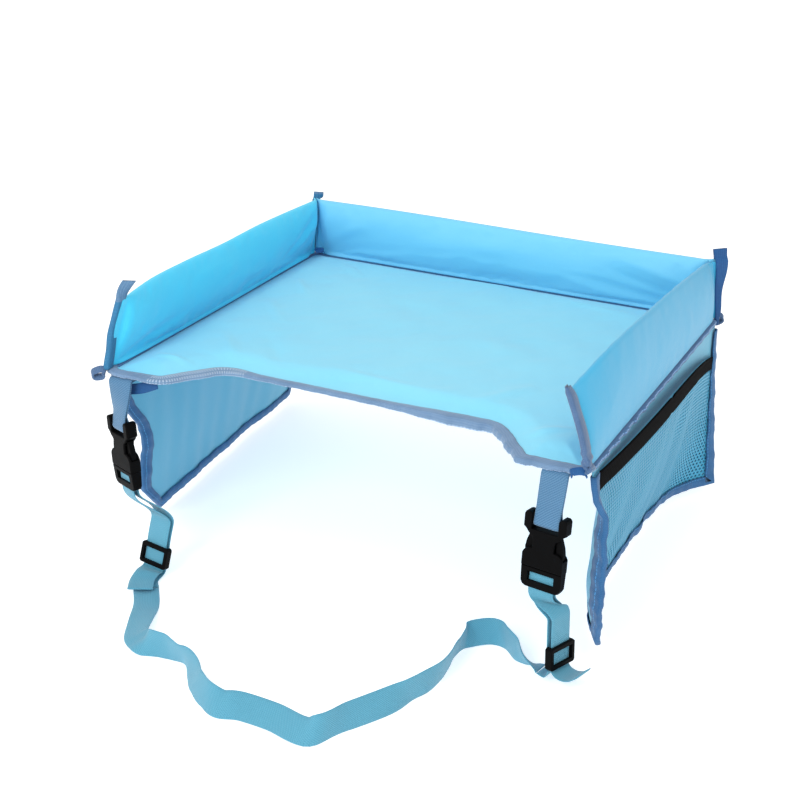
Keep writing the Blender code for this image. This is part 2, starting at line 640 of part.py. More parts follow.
def build_walls():
    """Three padded walls, and the ribbons that finish their ends."""
    left = side_wall_stations(-1, LEFT_WALL_TOPS)
    right = side_wall_stations(1, RIGHT_WALL_TOPS)
    build_wall("left", left, slice(3, -3))
    build_wall("right", right, slice(3, -3))
    build_wall("back", back_wall_stations(), slice(3, -3))
    for label, side, first, tail in (("left", -1, left[0], LEFT_TAIL), ("right", 1, right[0], RIGHT_TAIL)):
        base, inward, lean, top = first[:4]
        line = end_line(base, inward, lean, top, tail)
        room = WALL_SEAM_HALF + GAP
        name = f"front_{label}_end_binding"
        folded_ribbon(name, line, np.array((1.0, 0.0)), np.array((0.0, 1.0)), room, END_BINDING_LEG)
        across = unit(np.array((1.0, -side)))
        diagonal = unit(np.array((-side, -1.0)))
        corner = np.array((side * (HALF_WIDTH - WALL_CORNER_SETBACK), HALF_DEPTH - WALL_CORNER_SETBACK))
        corner_top = BACK_WALL_TOPS[0 if side < 0 else -1]
        fin = corner - diagonal * WALL_FIN
        room = GAP + 1.4 * FABRIC + GAP
        depth = WALL_FIN - 2.6 * WALL_SEAM_HALF
        line = end_line(fin, diagonal, CORNER_LEAN, corner_top, BACK_TAIL)
        folded_ribbon(f"back_{label}_corner_binding", line, across, diagonal, room, depth)


# Side flaps


class Flap:
    """One hanging side flap as a surface of two shares: u from front to back, v downwards."""

    def __init__(self, side, insets, flares, curls):
        self.side = side
        self.insets = insets
        self.flares = flares
        self.curls = curls
        self.origin = (side * HINGE_X, 0, HINGE_Z)
        self.label = "right" if side > 0 else "left"

    def point(self, u, v):
        """Places on the flap's middle surface."""
        u, v = np.broadcast_arrays(np.asarray(u, float), np.asarray(v, float))
        front = FLAP_FRONT_Y + curve_at(FLAP_DROP_SHARES, self.insets, v)
        length = FLAP_BACK_Y - front
        y = front + length * u
        flare = curve_at(FLAP_LENGTH_SHARES, self.flares, u) * np.abs(v) ** FLARE_POWER_SHARE
        curl_share = np.clip(1 - u * length / FLAP_CURL_LENGTH, 0, 1) ** 2
        curl = curve_at(FLAP_DROP_SHARES, self.curls, v) * curl_share
        belly = -FLAP_BELLY * np.sin(np.pi * np.clip(v, 0, 1)) * (1 - u)
        x = self.side * (HINGE_X + flare + curl + belly)
        return np.stack([x, y, HINGE_Z - FLAP_DROP * v], axis=-1)

    def normal(self, u, v):
        """Unit vectors off the flap's outer side."""
        small = FLAP_SLOPE_SHARE
        along = self.point(np.clip(u + small, 0, 1), v) - self.point(np.clip(u - small, 0, 1), v)
        down = self.point(u, np.clip(v + small, 0, 1)) - self.point(u, np.clip(v - small, 0, 1))
        return unit(np.cross(down, along)) * self.side

    def lifted(self, u, v, height):
        """Places on the surface pushed out by a height."""
        return self.point(u, v) + self.normal(u, v) * np.asarray(height)[..., None]

    def band_top(self, u):
        """The share of the drop where the pocket's elastic mouth starts."""
        return (BAND_FRONT_DROP + (BAND_BACK_DROP - BAND_FRONT_DROP) * u**1.6) / FLAP_DROP

    def pocket(self, u, w):
        """How far the pocket's net stands off the cloth, w from its mouth to the flap's foot."""
        seam_u = BINDING_WIDTH / (FLAP_BACK_Y - FLAP_FRONT_Y) * 1.5
        seam_w = BINDING_WIDTH / FLAP_DROP * 1.5
        across = np.sin(np.pi * np.clip((u - seam_u) / (1 - 2 * seam_u), 0, 1)) ** 0.7
        downwards = np.sin(np.pi * (0.25 + 0.75 * np.clip(w / (1 - seam_w), 0, 1)))
        return POCKET_BULGE * across * downwards

    def build(self):
        """Cloth, net, elastic and tape of the flap."""
        half = FLAP_CLOTH / 2
        u = np.array(FLAP_COLUMN_SHARES)[None, :]
        v = np.array(FLAP_ROW_SHARES)[:, None]
        grid_u, grid_v = np.broadcast_arrays(u, v)
        top = self.lifted(grid_u, grid_v, np.full(grid_u.shape, half))
        low = self.lifted(grid_u, grid_v, np.full(grid_u.shape, -half))
        ridge = self.point(grid_u[:1], grid_v[:1]) + np.array((0, 0, half * 0.92))
        nudge = np.array((self.side * half * 0.35, 0, 0))
        top = np.concatenate([ridge + nudge, top])
        low = np.concatenate([ridge - nudge, low])
        sheet_object(f"{self.label}_flap_panel", top, low, LINING_BLUE, self.origin)

        mouth = self.band_top(u)
        first = FLAP_ROW_SHARES[FLAP_MOUTH_ROWS]
        steps = np.arange(FLAP_MOUTH_ROWS)[:, None] / FLAP_MOUTH_ROWS
        upper = mouth + (first - mouth) * steps
        grid_v = np.concatenate([upper, np.broadcast_to(v[FLAP_MOUTH_ROWS:], (len(v) - 3, u.size))])
        grid_u = np.broadcast_to(u, grid_v.shape)
        grid_w = (grid_v - mouth) / (1 - mouth)
        stand = half + FLAP_NET_ROOM + self.pocket(grid_u, grid_w)
        net_low = self.lifted(grid_u, grid_v, stand)
        net_top = self.lifted(grid_u, grid_v, stand + FLAP_MESH)
        sheet_object(f"{self.label}_flap_mesh", net_top, net_low, MESH_BLUE, self.origin)

        length = FLAP_BACK_Y - FLAP_FRONT_Y
        edge = (BINDING_WIDTH + 2 * GAP) / length
        band_u = np.linspace(edge * 1.25, 1 - edge * 1.1, BAND_COLUMNS)[None, :]
        tall = FLAP_BAND_WIDTH / FLAP_DROP
        rows = np.linspace(0, 1, 4)[:, None]
        grid_u, grid_r = np.broadcast_arrays(band_u, rows)
        mouth = self.band_top(grid_u)
        grid_v = mouth + tall * grid_r
        grid_w = (grid_v - mouth) / (1 - mouth)
        stand = half + FLAP_NET_ROOM + FLAP_MESH + FLAP_BAND_ROOM + self.pocket(grid_u, grid_w)
        band_low = self.lifted(grid_u, grid_v, stand)
        band_top = self.lifted(grid_u, grid_v, stand + FLAP_BAND)
        sheet_object(f"{self.label}_flap_elastic", band_top, band_low, BLACK_ELASTIC, self.origin)
        self.build_binding()

    def build_binding(self):
        """The tape round the flap's front, foot and back edges, folded over cloth and net."""
        start = FLAP_SEAM_START / FLAP_DROP
        across = BINDING_WIDTH / (FLAP_BACK_Y - FLAP_FRONT_Y) * 1.1
        down = BINDING_WIDTH / FLAP_DROP
        rows = [start, *FLAP_ROW_SHARES[1:-1]]
        route = [(0, v, 1, 0) for v in rows]
        route += [(0, 1, 1, 1)]
        route += [(u, 1, 0, 1) for u in FLAP_COLUMN_SHARES[3:-3]]
        route += [(1, 1, -1, 1)]
        route += [(1, v, -1, 0) for v in rows[::-1]]
        inner_low = -FLAP_CLOTH / 2 - FLAP_TAPE_ROOM
        inner_top = FLAP_CLOTH / 2 + FLAP_NET_ROOM + FLAP_MESH + FLAP_TAPE_ROOM
        rings = []
        for u, v, right, up in route:
            steps = np.array((0, 0.5, 1))
            us = u + right * across * steps
            vs = v - up * down * steps
            places = self.point(us, vs)
            normals = self.normal(us, vs)
            away = unit(places[0] - places[1]) * math.sqrt(1 + right * right * up * up)
            edge = places[0]
            out = FLAP_EDGE_ROOM + BINDING_TAPE
            ring = [places[k] + normals[k] * (inner_top + BINDING_TAPE) for k in (2, 1, 0)]
            ring += [edge + away * out + normals[0] * h for h in (inner_top, inner_low)]
            ring += [places[k] + normals[k] * (inner_low - BINDING_TAPE) for k in (0, 1, 2)]
            ring += [places[k] + normals[k] * inner_low for k in (2, 1)]
            ring += [edge + away * FLAP_EDGE_ROOM + normals[0] * h for h in (inner_low, inner_top)]
            ring += [places[k] + normals[k] * inner_top for k in (1, 2)]
            rings.append(ring)
        loft_object(f"{self.label}_flap_binding", rings, TAPE_BLUE, self.origin)


# Webbing


def squared(places, sides):
    """A strap's width and thickness directions, square to the line that it follows."""
    tangents = unit(np.gradient(np.asarray(places, float), axis=0))
    sides = np.asarray(sides, float)
    sides = unit(sides - tangents * (sides * tangents).sum(axis=1, keepdims=True))
    return sides, np.cross(tangents, sides)


def ribbon(name, places, sides, width, thick, finish, origin=(0, 0, 0), kept=()):
    """A flat strap through places; kept lists rows whose width and thickness directions are given."""
    sides, faces_out = squared(places, sides)
    for row, side, off in kept:
        sides[row] = side
        faces_out[row] = off * math.copysign(1, off @ faces_out[row])
    rings = []
    for place, side, off in zip(places, sides, faces_out):
        half, deep = side * width / 2, off * thick / 2
        rings.append([place - half - deep, place + half - deep, place + half + deep, place - half + deep])
    return loft_object(name, rings, finish, origin)


class Frame:
    """A place with three axes: x across the strap, y to the back, z up."""

    def __init__(self, place, across, up):
        self.place = np.asarray(place, float)
        self.up = unit(up)
        across = np.asarray(across, float)
        self.across = unit(across - self.up * (across @ self.up))
        self.back = np.cross(self.up, self.across)

    def at(self, x, y, z):
        """A local place in the part's frame."""
        return self.place + self.across * x + self.back * y + self.up * z

    def matrix(self):
        """The same frame as a matrix."""
        columns = np.column_stack([self.across, self.back, self.up, self.place])
        return Matrix(np.vstack([columns, (0, 0, 0, 1)]).tolist())


def from_corner(side, offsets):
    """Places given from the tray's front corner on one side."""
    return np.array((side * HALF_WIDTH, -HALF_DEPTH, 0)) + np.asarray(offsets, float)


def turned(degrees):
    """A level direction turned from +X."""
    angle = math.radians(degrees)
    return np.array((math.cos(angle), math.sin(angle), 0))


def buckle_frame(side, top, foot, degrees):
    """The buckle's frame, its origin at the socket's mouth."""
    top, foot = from_corner(side, top), from_corner(side, foot)
    up = unit(top - foot)
    return Frame(top - up * SOCKET_HORN_TOP, turned(degrees), up)


def build_tab(label, centre_x, frame):
    """The short folded strap that hangs the socket from the base's front edge."""
    half = TAB_PLY_PITCH / 2
    level_z = LIP_BOTTOM - GAP - WEB / 2 - half
    front_y = -HALF_DEPTH - TAB_FRONT + WEB / 2 + half
    start = np.array((centre_x, front_y + TAB_BEND + TAB_HIDDEN, level_z))
    bar = frame.at(0, 0, SOCKET_BAR_Z)
    above = frame.at(0, 0, SOCKET_BAR_Z + 3 * PLY_PITCH)
    middle = [start, start - np.array((0, TAB_HIDDEN, 0))]
    for share in TAB_BEND_SHARES:
        angle = share * math.pi / 2
        bend = np.array((0, -TAB_BEND * math.sin(angle), -TAB_BEND * (1 - math.cos(angle))))
        middle.append(start - np.array((0, TAB_HIDDEN, 0)) + bend)
    straight = middle[-1]
    middle += [straight + (above - straight) * share for share in TAB_TURN_SHARES]
    middle = np.array(middle)
    level = np.array((1.0, 0.0, 0.0))
    turning = [unit(level * (1 - share) + frame.across * share) for share in TAB_TURN_SHARES]
    sides, off = squared(middle, [level] * (2 + len(TAB_BEND_SHARES)) + turning)
    wrap = SOCKET_BAR_RADIUS + GAP + WEB / 2
    loop, loop_sides = [], []
    for share in np.linspace(0, 1, 2 * WRAP_STEPS + 1):
        angle = math.pi * (share * WRAP_SPAN_SHARE + WRAP_START_SHARE)
        loop.append(bar - frame.back * wrap * math.cos(angle) - frame.up * wrap * math.sin(angle))
        loop_sides.append(frame.across)
    front = middle + off * half * math.copysign(1, -off[-1] @ frame.back)
    rear = middle - off * half * math.copysign(1, -off[-1] @ frame.back)
    places = np.concatenate([front, loop, rear[::-1]])
    widths = np.concatenate([sides, loop_sides, sides[::-1]])
    count = len(middle)
    rear_rows = count + len(loop) + np.arange(count)[::-1]
    rows = list(zip(range(count), sides, off)) + list(zip(rear_rows, sides, off))
    ribbon(f"{label}_webbing_tab", places, widths, WEB_WIDTH, WEB, TAB_BLUE, kept=rows)


def resting(places, sides, width, thick):
    """The same strap, lifted wherever it would sink into the ground under the tray."""
    places = np.array(places, float)
    tangents = unit(np.gradient(places, axis=0))
    sides = unit(sides - tangents * (sides * tangents).sum(axis=1, keepdims=True))
    off = np.cross(tangents, sides)
    reach = np.abs(sides[:, 2]) * width / 2 + np.abs(off[:, 2]) * thick / 2
    places[:, 2] = np.maximum(places[:, 2], -FLOOR_DROP + reach)
    return places


def strap_line(places, ups, extra_steps):
    """A smooth line and its width directions through chosen stations."""
    stations = np.arange(len(places), dtype=float)
    wanted = np.linspace(0, len(places) - 1, (len(places) - 1) * extra_steps + 1)
    return curve_at(stations, places, wanted), unit(curve_at(stations, ups, wanted))


def build_belt_loop(label, buckle, slider, tail_route, tail_turn, run_route, run_turn):
    """The belt's adjustable end: out of the slider, round the insert's bar, and back through."""
    ladder = buckle.at(0, LADDER_Y, -LADDER_Z)
    foot = buckle.at(0, LADDER_Y, -INSERT_BOTTOM - 2 * STRAP_CLEAR)
    lead = SLIDER_HEIGHT / 2 + STRAP_CLEAR
    above = slider.at(0, LADDER_Y, SLIDER_TRAVEL + lead + 3 * STRAP_CLEAR)
    straight = [slider.at(0, LADDER_Y, SLIDER_TRAVEL + lead), slider.at(0, LADDER_Y, -lead)]
    twist = []
    length = np.linalg.norm(above - foot)
    for share in np.linspace(0, 1, TWIST_STEPS + 1)[1:-1]:
        ease = share * share * (3 - 2 * share)
        leaving = share * (1 - share) ** 2
        arriving = share * share * (1 - share)
        line = foot * (1 - ease) + above * ease
        line = line - (buckle.up * leaving - slider.up * arriving) * length
        twist.append((line, buckle.across * (1 - ease) + slider.across * ease))
    middle = np.array([ladder, foot] + [p for p, _ in twist] + [above, *straight])
    sides = np.array([buckle.across] * 2 + [s for _, s in twist] + [slider.across] * 3)
    sides = unit(sides)
    back = unit(np.cross(sides, np.gradient(middle, axis=0)))
    sides[:2], back[:2] = buckle.across, buckle.back
    sides[-3:], back[-3:] = slider.across, slider.back
    half = PLY_PITCH / 2
    front_ply, rear_ply = middle - back * half, middle + back * half
    wrap, wrap_sides = [], []
    for step in range(1, WRAP_STEPS):
        angle = math.pi * step / WRAP_STEPS
        arm = -buckle.back * math.cos(angle) + buckle.up * math.sin(angle)
        wrap.append(ladder + arm * half)
        wrap_sides.append(buckle.across)
    tail = np.array(tail_route)
    run = np.array(run_route)
    tail_across, tail_shares = tail_turn
    run_across, run_shares = run_turn
    tail_sides = np.array([slider.across * (1 - s) + np.array(tail_across) * s for s in tail_shares])
    run_sides = np.array([slider.across * (1 - s) + np.array(run_across) * s for s in run_shares])
    places = np.concatenate([tail[::-1], front_ply[::-1], wrap, rear_ply, run])
    widths = np.concatenate([tail_sides[::-1], sides[::-1], wrap_sides, sides, run_sides])
    places = resting(places, widths, WEB_WIDTH, WEB)
    count = len(middle)
    front_rows = len(tail) + np.arange(count)[::-1]
    rear_rows = len(tail) + count + len(wrap) + np.arange(count)
    rows = list(zip(front_rows, sides, back)) + list(zip(rear_rows, sides, back))
    ribbon(f"{label}_belt_loop", places, widths, WEB_WIDTH, WEB, WEB_BLUE, kept=rows)
    return places[-1], widths[-1]


def build_belt_run(left_end, right_end):
    """The belt's middle length, lying on the ground on its edge with a few twists."""
    edges = np.array(BELT_EDGES)
    places = edges.mean(axis=1)
    sides = unit(edges[:, 1] - edges[:, 0])
    left_place, left_side = left_end
    right_place, right_side = right_end
    towards_left = unit(places[0] - left_place)
    towards_right = unit(places[-1] - right_place)
    first = left_place + towards_left * JOIN_GAP
    last = right_place + towards_right * JOIN_GAP
    places = np.concatenate([[first], places, [last]])
    sides = np.concatenate([[left_side], sides, [-right_side]])
    places, sides = strap_line(places, sides, STRAP_STEPS)
    places = resting(places, sides, WEB_WIDTH, WEB)
    ribbon("belt_run", places, sides, WEB_WIDTH, WEB, WEB_BLUE)


# Buckle


def plate(name, outline, low_y, high_y, finish, frame, bevel=0):
    """A flat piece with an outline in x and z, between two depths, its edges rounded."""
    sheet = bmesh.new()
    ring = [sheet.verts.new((x, low_y, z)) for x, z in outline]
    face = sheet.faces.new(ring)
    grown = bmesh.ops.extrude_face_region(sheet, geom=[face])
    moved = [v for v in grown["geom"] if isinstance(v, bmesh.types.BMVert)]
    bmesh.ops.translate(sheet, verts=moved, vec=(0, high_y - low_y, 0))
    if bevel:
        rim = [e for e in sheet.edges if abs(e.verts[0].co.y - e.verts[1].co.y) < abs(high_y - low_y) / 2]
        bmesh.ops.bevel(sheet, geom=rim, offset=bevel, segments=2, profile=0.5, affect="EDGES")
    bmesh.ops.recalc_face_normals(sheet, faces=sheet.faces)
    mesh = bpy.data.meshes.new(name)
    sheet.to_mesh(mesh)
    sheet.free()
    mesh.materials.append(material_for(finish))
    obj = bpy.data.objects.new(name, mesh)
    bpy.context.scene.collection.objects.link(obj)
    obj.matrix_world = frame.matrix()
    return obj


def box(name, low, high, frame):
    """A plain block for cutting or joining, hidden in renders."""
    (x0, y0, z0), (x1, y1, z1) = low, high
    outline = ((x0, z0), (x1, z0), (x1, z1), (x0, z1))
    return plate(name, outline, y0, y1, BLACK_PLASTIC, frame)


def rod(name, centre_y, centre_z, radius, half_length, frame):
    """A round bar along x."""
    count = 12
    rings = []
    for x in (-half_length, half_length):
        ring = []
        for step in range(count):
            angle = 2 * math.pi * step / count
            ring.append((x, centre_y + radius * math.cos(angle), centre_z + radius * math.sin(angle)))
        rings.append(ring)
    obj = loft_object(name, rings, BLACK_PLASTIC)
    obj.matrix_world = frame.matrix()
    return obj


def combine(target, other, operation):
    """Join or cut a target with another solid through a Boolean, and hide that other solid."""
    step = target.modifiers.new(other.name, "BOOLEAN")
    step.operation = operation
    step.object = other
    step.solver = "EXACT"
    other.hide_render = True
    other.display_type = "WIRE"


def mirrored(right_half):
    """A closed outline from its right half, listed from bottom to top."""
    return [(x, z) for x, z in right_half] + [(-x, z) for x, z in reversed(right_half)]


def socket_outline():
    """The socket's face: band, arcs that bare the buttons, waist and two horns."""
    right = [(BUCKLE_HALF, 0), (BUCKLE_HALF, SOCKET_BAND)]
    low, high = SOCKET_ARC_LOW, SOCKET_ARC_HIGH
    wide = BUCKLE_HALF - SOCKET_ARC_HALF
    for share in (0.35, 0.7, 0.93):
        x = SOCKET_ARC_HALF + wide * math.sqrt(1 - share * share) * 0.92
        right.append((x, SOCKET_BAND + (low - SOCKET_BAND) * share))
    right += [(SOCKET_ARC_HALF, low), (SOCKET_ARC_HALF, high)]
    for share in (0.3, 0.65, 1):
        x = SOCKET_ARC_HALF + (SOCKET_WAIST_HALF - SOCKET_ARC_HALF) * (1 - math.sqrt(1 - share * share))
        right.append((x, high + (SOCKET_WINDOW_TOP - high) * share))
    horn = SOCKET_HORN_HALF
    inner = SOCKET_HORN_INNER
    rise = SOCKET_HORN_TOP - SOCKET_HORN_FOOT
    span = horn - inner
    right += [(SOCKET_WAIST_HALF + (horn - SOCKET_WAIST_HALF) * 0.6, SOCKET_BODY_TOP - INSERT_TOP_GAP)]
    right += [(horn, SOCKET_HORN_FOOT), (horn, SOCKET_HORN_FOOT + rise * 0.8)]
    right += [(horn - span * 0.12, SOCKET_HORN_TOP - rise * 0.06), (horn - span * 0.35, SOCKET_HORN_TOP)]
    right += [(inner + span * 0.3, SOCKET_HORN_TOP), (inner, SOCKET_HORN_TOP - rise * 0.15)]
    right += [(inner, SOCKET_BODY_TOP)]
    return mirrored(right)


def build_socket(label, frame):
    """The buckle's socket with its open channel, button windows and strap bar."""
    half = BUCKLE_THICK / 2
    body = plate(f"{label}_buckle_socket", socket_outline(), -half, half, BLACK_PLASTIC, frame, BUCKLE_BEVEL)
    room_y = SOCKET_ROOM_DEPTH / 2
    low = (-SOCKET_ROOM_HALF, -room_y, -SOCKET_BAND)
    high = (SOCKET_ROOM_HALF, room_y, SOCKET_ROOM_TOP)
    combine(body, box(f"{label}_socket_room", low, high, frame), "DIFFERENCE")
    low = (-BUCKLE_HALF * 1.2, -room_y, SOCKET_BAND)
    high = (BUCKLE_HALF * 1.2, room_y, SOCKET_WINDOW_TOP)
    combine(body, box(f"{label}_socket_windows", low, high, frame), "DIFFERENCE")
    reach = SOCKET_HORN_INNER + (SOCKET_HORN_HALF - SOCKET_HORN_INNER) / 2
    bar = rod(f"{label}_socket_bar", 0, SOCKET_BAR_Z, SOCKET_BAR_RADIUS, reach, frame)
    combine(body, bar, "UNION")
    return body


def build_insert(label, frame):
    """The buckle's insert: framed strap window, ladder bar, collar and centre tongue."""
    half = INSERT_THICK / 2
    foot_half = INSERT_FOOT_THICK / 2
    top = -INSERT_TOP_GAP
    bottom = -INSERT_BOTTOM
    corner = INSERT_CORNER
    outline = [(INSERT_HALF - corner, bottom), (INSERT_HALF - corner * 0.35, bottom + corner * 0.3)]
    outline += [(INSERT_HALF, bottom + corner), (INSERT_HALF, top)]
    body = plate(f"{label}_buckle_insert", mirrored(outline), -half, half, BLACK_PLASTIC, frame, BUCKLE_BEVEL)
    for vertex in body.data.vertices:
        drop = max(0, min(1, (top - vertex.co.z) / (INSERT_BOTTOM - INSERT_TOP_GAP)))
        vertex.co.y *= 1 - (1 - foot_half / half) * drop
    side = WEB_WIDTH / 2 + GAP * 2
    behind = LADDER_Y - PLY_PITCH / 2 - WEB / 2 - GAP
    low = (-side, behind, bottom - corner)
    high = (side, half + corner, -INSERT_WINDOW_HIGH)
    combine(body, box(f"{label}_insert_slot", low, high, frame), "DIFFERENCE")
    low = (-side, -half - corner, -INSERT_WINDOW_LOW)
    high = (side, behind + GAP, -INSERT_WINDOW_HIGH)
    combine(body, box(f"{label}_insert_window", low, high, frame), "DIFFERENCE")
    reach = side + (INSERT_HALF - side) / 2
    ladder = rod(f"{label}_insert_ladder", LADDER_Y, -LADDER_Z, LADDER_RADIUS, reach, frame)
    combine(body, ladder, "UNION")
    collar_half = SOCKET_ROOM_HALF - COLLAR_SIDE_GAP
    collar_y = SOCKET_ROOM_DEPTH / 2 - GAP
    low = (-collar_half, -collar_y, -INSERT_WINDOW_HIGH * 0.5)
    high = (collar_half, collar_y, COLLAR_HEIGHT)
    combine(body, box(f"{label}_insert_collar", low, high, frame), "UNION")
    tip = TONGUE_HALF * 0.5
    tongue = [(TONGUE_HALF, COLLAR_HEIGHT * 0.5), (TONGUE_HALF, TONGUE_TOP - TONGUE_HALF)]
    tongue += [(tip, TONGUE_TOP)]
    deep = TONGUE_THICK / 2
    blade = plate(f"{label}_insert_tongue", mirrored(tongue), -deep, deep, BLACK_PLASTIC, frame)
    combine(body, blade, "UNION")
    room = PRONG_ROOT + GAP
    for name, sign in (("left", -1), ("right", 1)):
        recess = []
        for step in range(WRAP_STEPS * 2 + 1):
            angle = -math.pi * step / (WRAP_STEPS * 2)
            recess.append((sign * PRONG_X + room * math.cos(angle), PRONG_Z + room * math.sin(angle)))
        recess += [(sign * PRONG_X - room, COLLAR_HEIGHT * 2), (sign * PRONG_X + room, COLLAR_HEIGHT * 2)]
        deep = SOCKET_ROOM_DEPTH
        cutter = plate(f"{label}_{name}_recess", recess, -deep, deep, BLACK_PLASTIC, frame)
        combine(body, cutter, "DIFFERENCE")
    return body


def prong_outline(sign):
    """A springy arm: round root, slim stem, and the button with its catching shoulder."""
    points = []
    for step in range(WRAP_STEPS * 2 + 1):
        share = step / (WRAP_STEPS * 2)
        angle = math.radians(140 + 260 * share)
        points.append((PRONG_ROOT * math.cos(angle), PRONG_ROOT * math.sin(angle)))
    x0, z0 = PRONG_X, PRONG_Z
    stem = PRONG_ARM_HALF
    points += [(stem, PRONG_ROOT * 1.3), (stem, PRONG_SHOULDER - stem - z0)]
    points += [(PRONG_PAD - x0 - stem * 0.4, PRONG_SHOULDER - z0), (PRONG_PAD - x0, PRONG_PAD_Z - z0)]
    blend = (PRONG_TOP - PRONG_PAD_Z) * 0.45
    points += [(PRONG_PAD - stem * 0.8 - x0, PRONG_PAD_Z + blend - z0)]
    points += [(PRONG_TIP_OUT - x0, PRONG_TOP - z0), (PRONG_TIP_IN - x0, PRONG_TOP - z0)]
    points += [(PRONG_INNER - x0, PRONG_SHOULDER - z0), (-stem, PRONG_SHOULDER - stem - z0)]
    points += [(-stem, PRONG_ROOT * 1.3)]
    return [(sign * x, z) for x, z in points]


def build_prong(label, name, sign, frame):
    """One release arm, its origin on the axis that it bends about."""
    deep = PRONG_THICK / 2
    root = Frame(frame.at(sign * PRONG_X, 0, PRONG_Z), frame.across, frame.up)
    outline = prong_outline(sign)
    return plate(f"{label}_buckle_{name}_prong", outline, -deep, deep, BLACK_PLASTIC, root, BUCKLE_BEVEL / 3)


def build_slider(label, frame):
    """The three-bar slider that sets the belt's length."""
    half_w, half_h = SLIDER_WIDTH / 2, SLIDER_HEIGHT / 2
    front_face = LADDER_Y - PLY_PITCH / 2 - WEB / 2 - GAP
    mid_front = LADDER_Y - PLY_PITCH / 2 + WEB / 2 + GAP
    mid_back = LADDER_Y + PLY_PITCH / 2 - WEB / 2 - GAP
    front = front_face - SLIDER_BAR
    round_off = SLIDER_SIDE * 0.5
    outline = [(half_w - round_off, -half_h), (half_w, -half_h + round_off)]
    outline += [(half_w, half_h - round_off), (half_w - round_off, half_h)]
    body = plate(f"{label}_slider", mirrored(outline), front, mid_back, BLACK_PLASTIC, frame, SLIDER_BEVEL)
    inner = half_w - SLIDER_SIDE
    low = (-inner, front - SLIDER_BAR, -half_h + SLIDER_END_BAR)
    high = (inner, mid_front, half_h - SLIDER_END_BAR)
    combine(body, box(f"{label}_slider_face", low, high, frame), "DIFFERENCE")
    low = (-inner, front_face, -half_h * 1.5)
    high = (inner, mid_front, half_h * 1.5)
    combine(body, box(f"{label}_slider_pass", low, high, frame), "DIFFERENCE")
    for word, sign in (("low", -1), ("high", 1)):
        edges = sorted((sign * SLIDER_MID_BAR / 2, sign * half_h * 1.5))
        low = (-inner, front_face, edges[0])
        high = (inner, mid_back + SLIDER_BAR, edges[1])
        combine(body, box(f"{label}_slider_{word}_gap", low, high, frame), "DIFFERENCE")
    return body


def main():
    """Build the whole tray table."""
    clear_scene()
    build_base()
    build_edge_bindings()
    build_walls()
    Flap(1, RIGHT_FRONT_INSETS, RIGHT_FLARES, RIGHT_CURLS).build()
    Flap(-1, LEFT_FRONT_INSETS, LEFT_FLARES, LEFT_CURLS).build()
    right = buckle_frame(1, RIGHT_BUCKLE_TOP, RIGHT_BUCKLE_FOOT, RIGHT_BUCKLE_TURN_DEG)
    left = buckle_frame(-1, LEFT_BUCKLE_TOP, LEFT_BUCKLE_FOOT, LEFT_BUCKLE_TURN_DEG)
    right_tab = HALF_WIDTH - TAB_RIGHT_INSET
    left_tab = TAB_LEFT_INSET - HALF_WIDTH
    for label, frame, tab_x in (("right", right, right_tab), ("left", left, left_tab)):
        build_tab(label, tab_x, frame)
        build_socket(label, frame)
        build_insert(label, frame)
        build_prong(label, "left", -1, frame)
        build_prong(label, "right", 1, frame)
    right_centre = from_corner(1, RIGHT_SLIDER_CENTRE)
    left_centre = from_corner(-1, LEFT_SLIDER_CENTRE)
    right_slider = Frame(right_centre, turned(RIGHT_SLIDER_TURN_DEG), RIGHT_SLIDER_UP)
    left_slider = Frame(left_centre, turned(LEFT_SLIDER_TURN_DEG), LEFT_SLIDER_UP)
    build_slider("right", right_slider)
    build_slider("left", left_slider)
    edges = np.array(BELT_EDGES)
    first = unit(edges[0, 1] - edges[0, 0])
    last = -unit(edges[-1, 1] - edges[-1, 0])
    left_end = build_belt_loop(
        "left", left, left_slider,
        from_corner(-1, LEFT_TAIL_ROUTE), (LEFT_TAIL_ACROSS, LEFT_TAIL_TURN_SHARES),
        from_corner(-1, LEFT_RUN_ROUTE), (first, LEFT_RUN_TURN_SHARES),
    )
    right_end = build_belt_loop(
        "right", right, right_slider,
        from_corner(1, RIGHT_TAIL_ROUTE), (RIGHT_TAIL_ACROSS, RIGHT_TAIL_TURN_SHARES),
        from_corner(1, RIGHT_RUN_ROUTE), (last, RIGHT_RUN_TURN_SHARES),
    )
    build_belt_run(left_end, right_end)


main()
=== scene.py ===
"""Dresses the car seat tray table: cloth, net, tape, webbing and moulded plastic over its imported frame.

Metres, +Z up. X runs across the tray, the leg cut-out faces -Y, and the origin is the middle
of the tray's underside, as in the frame.
"""

import json
import logging
import math
from collections.abc import Callable
from dataclasses import dataclass, field
from enum import Enum
from functools import cache

import bmesh
import bpy
import numpy as np
from bpy.types import Material, Mesh, Object
from mathutils import Matrix, Vector

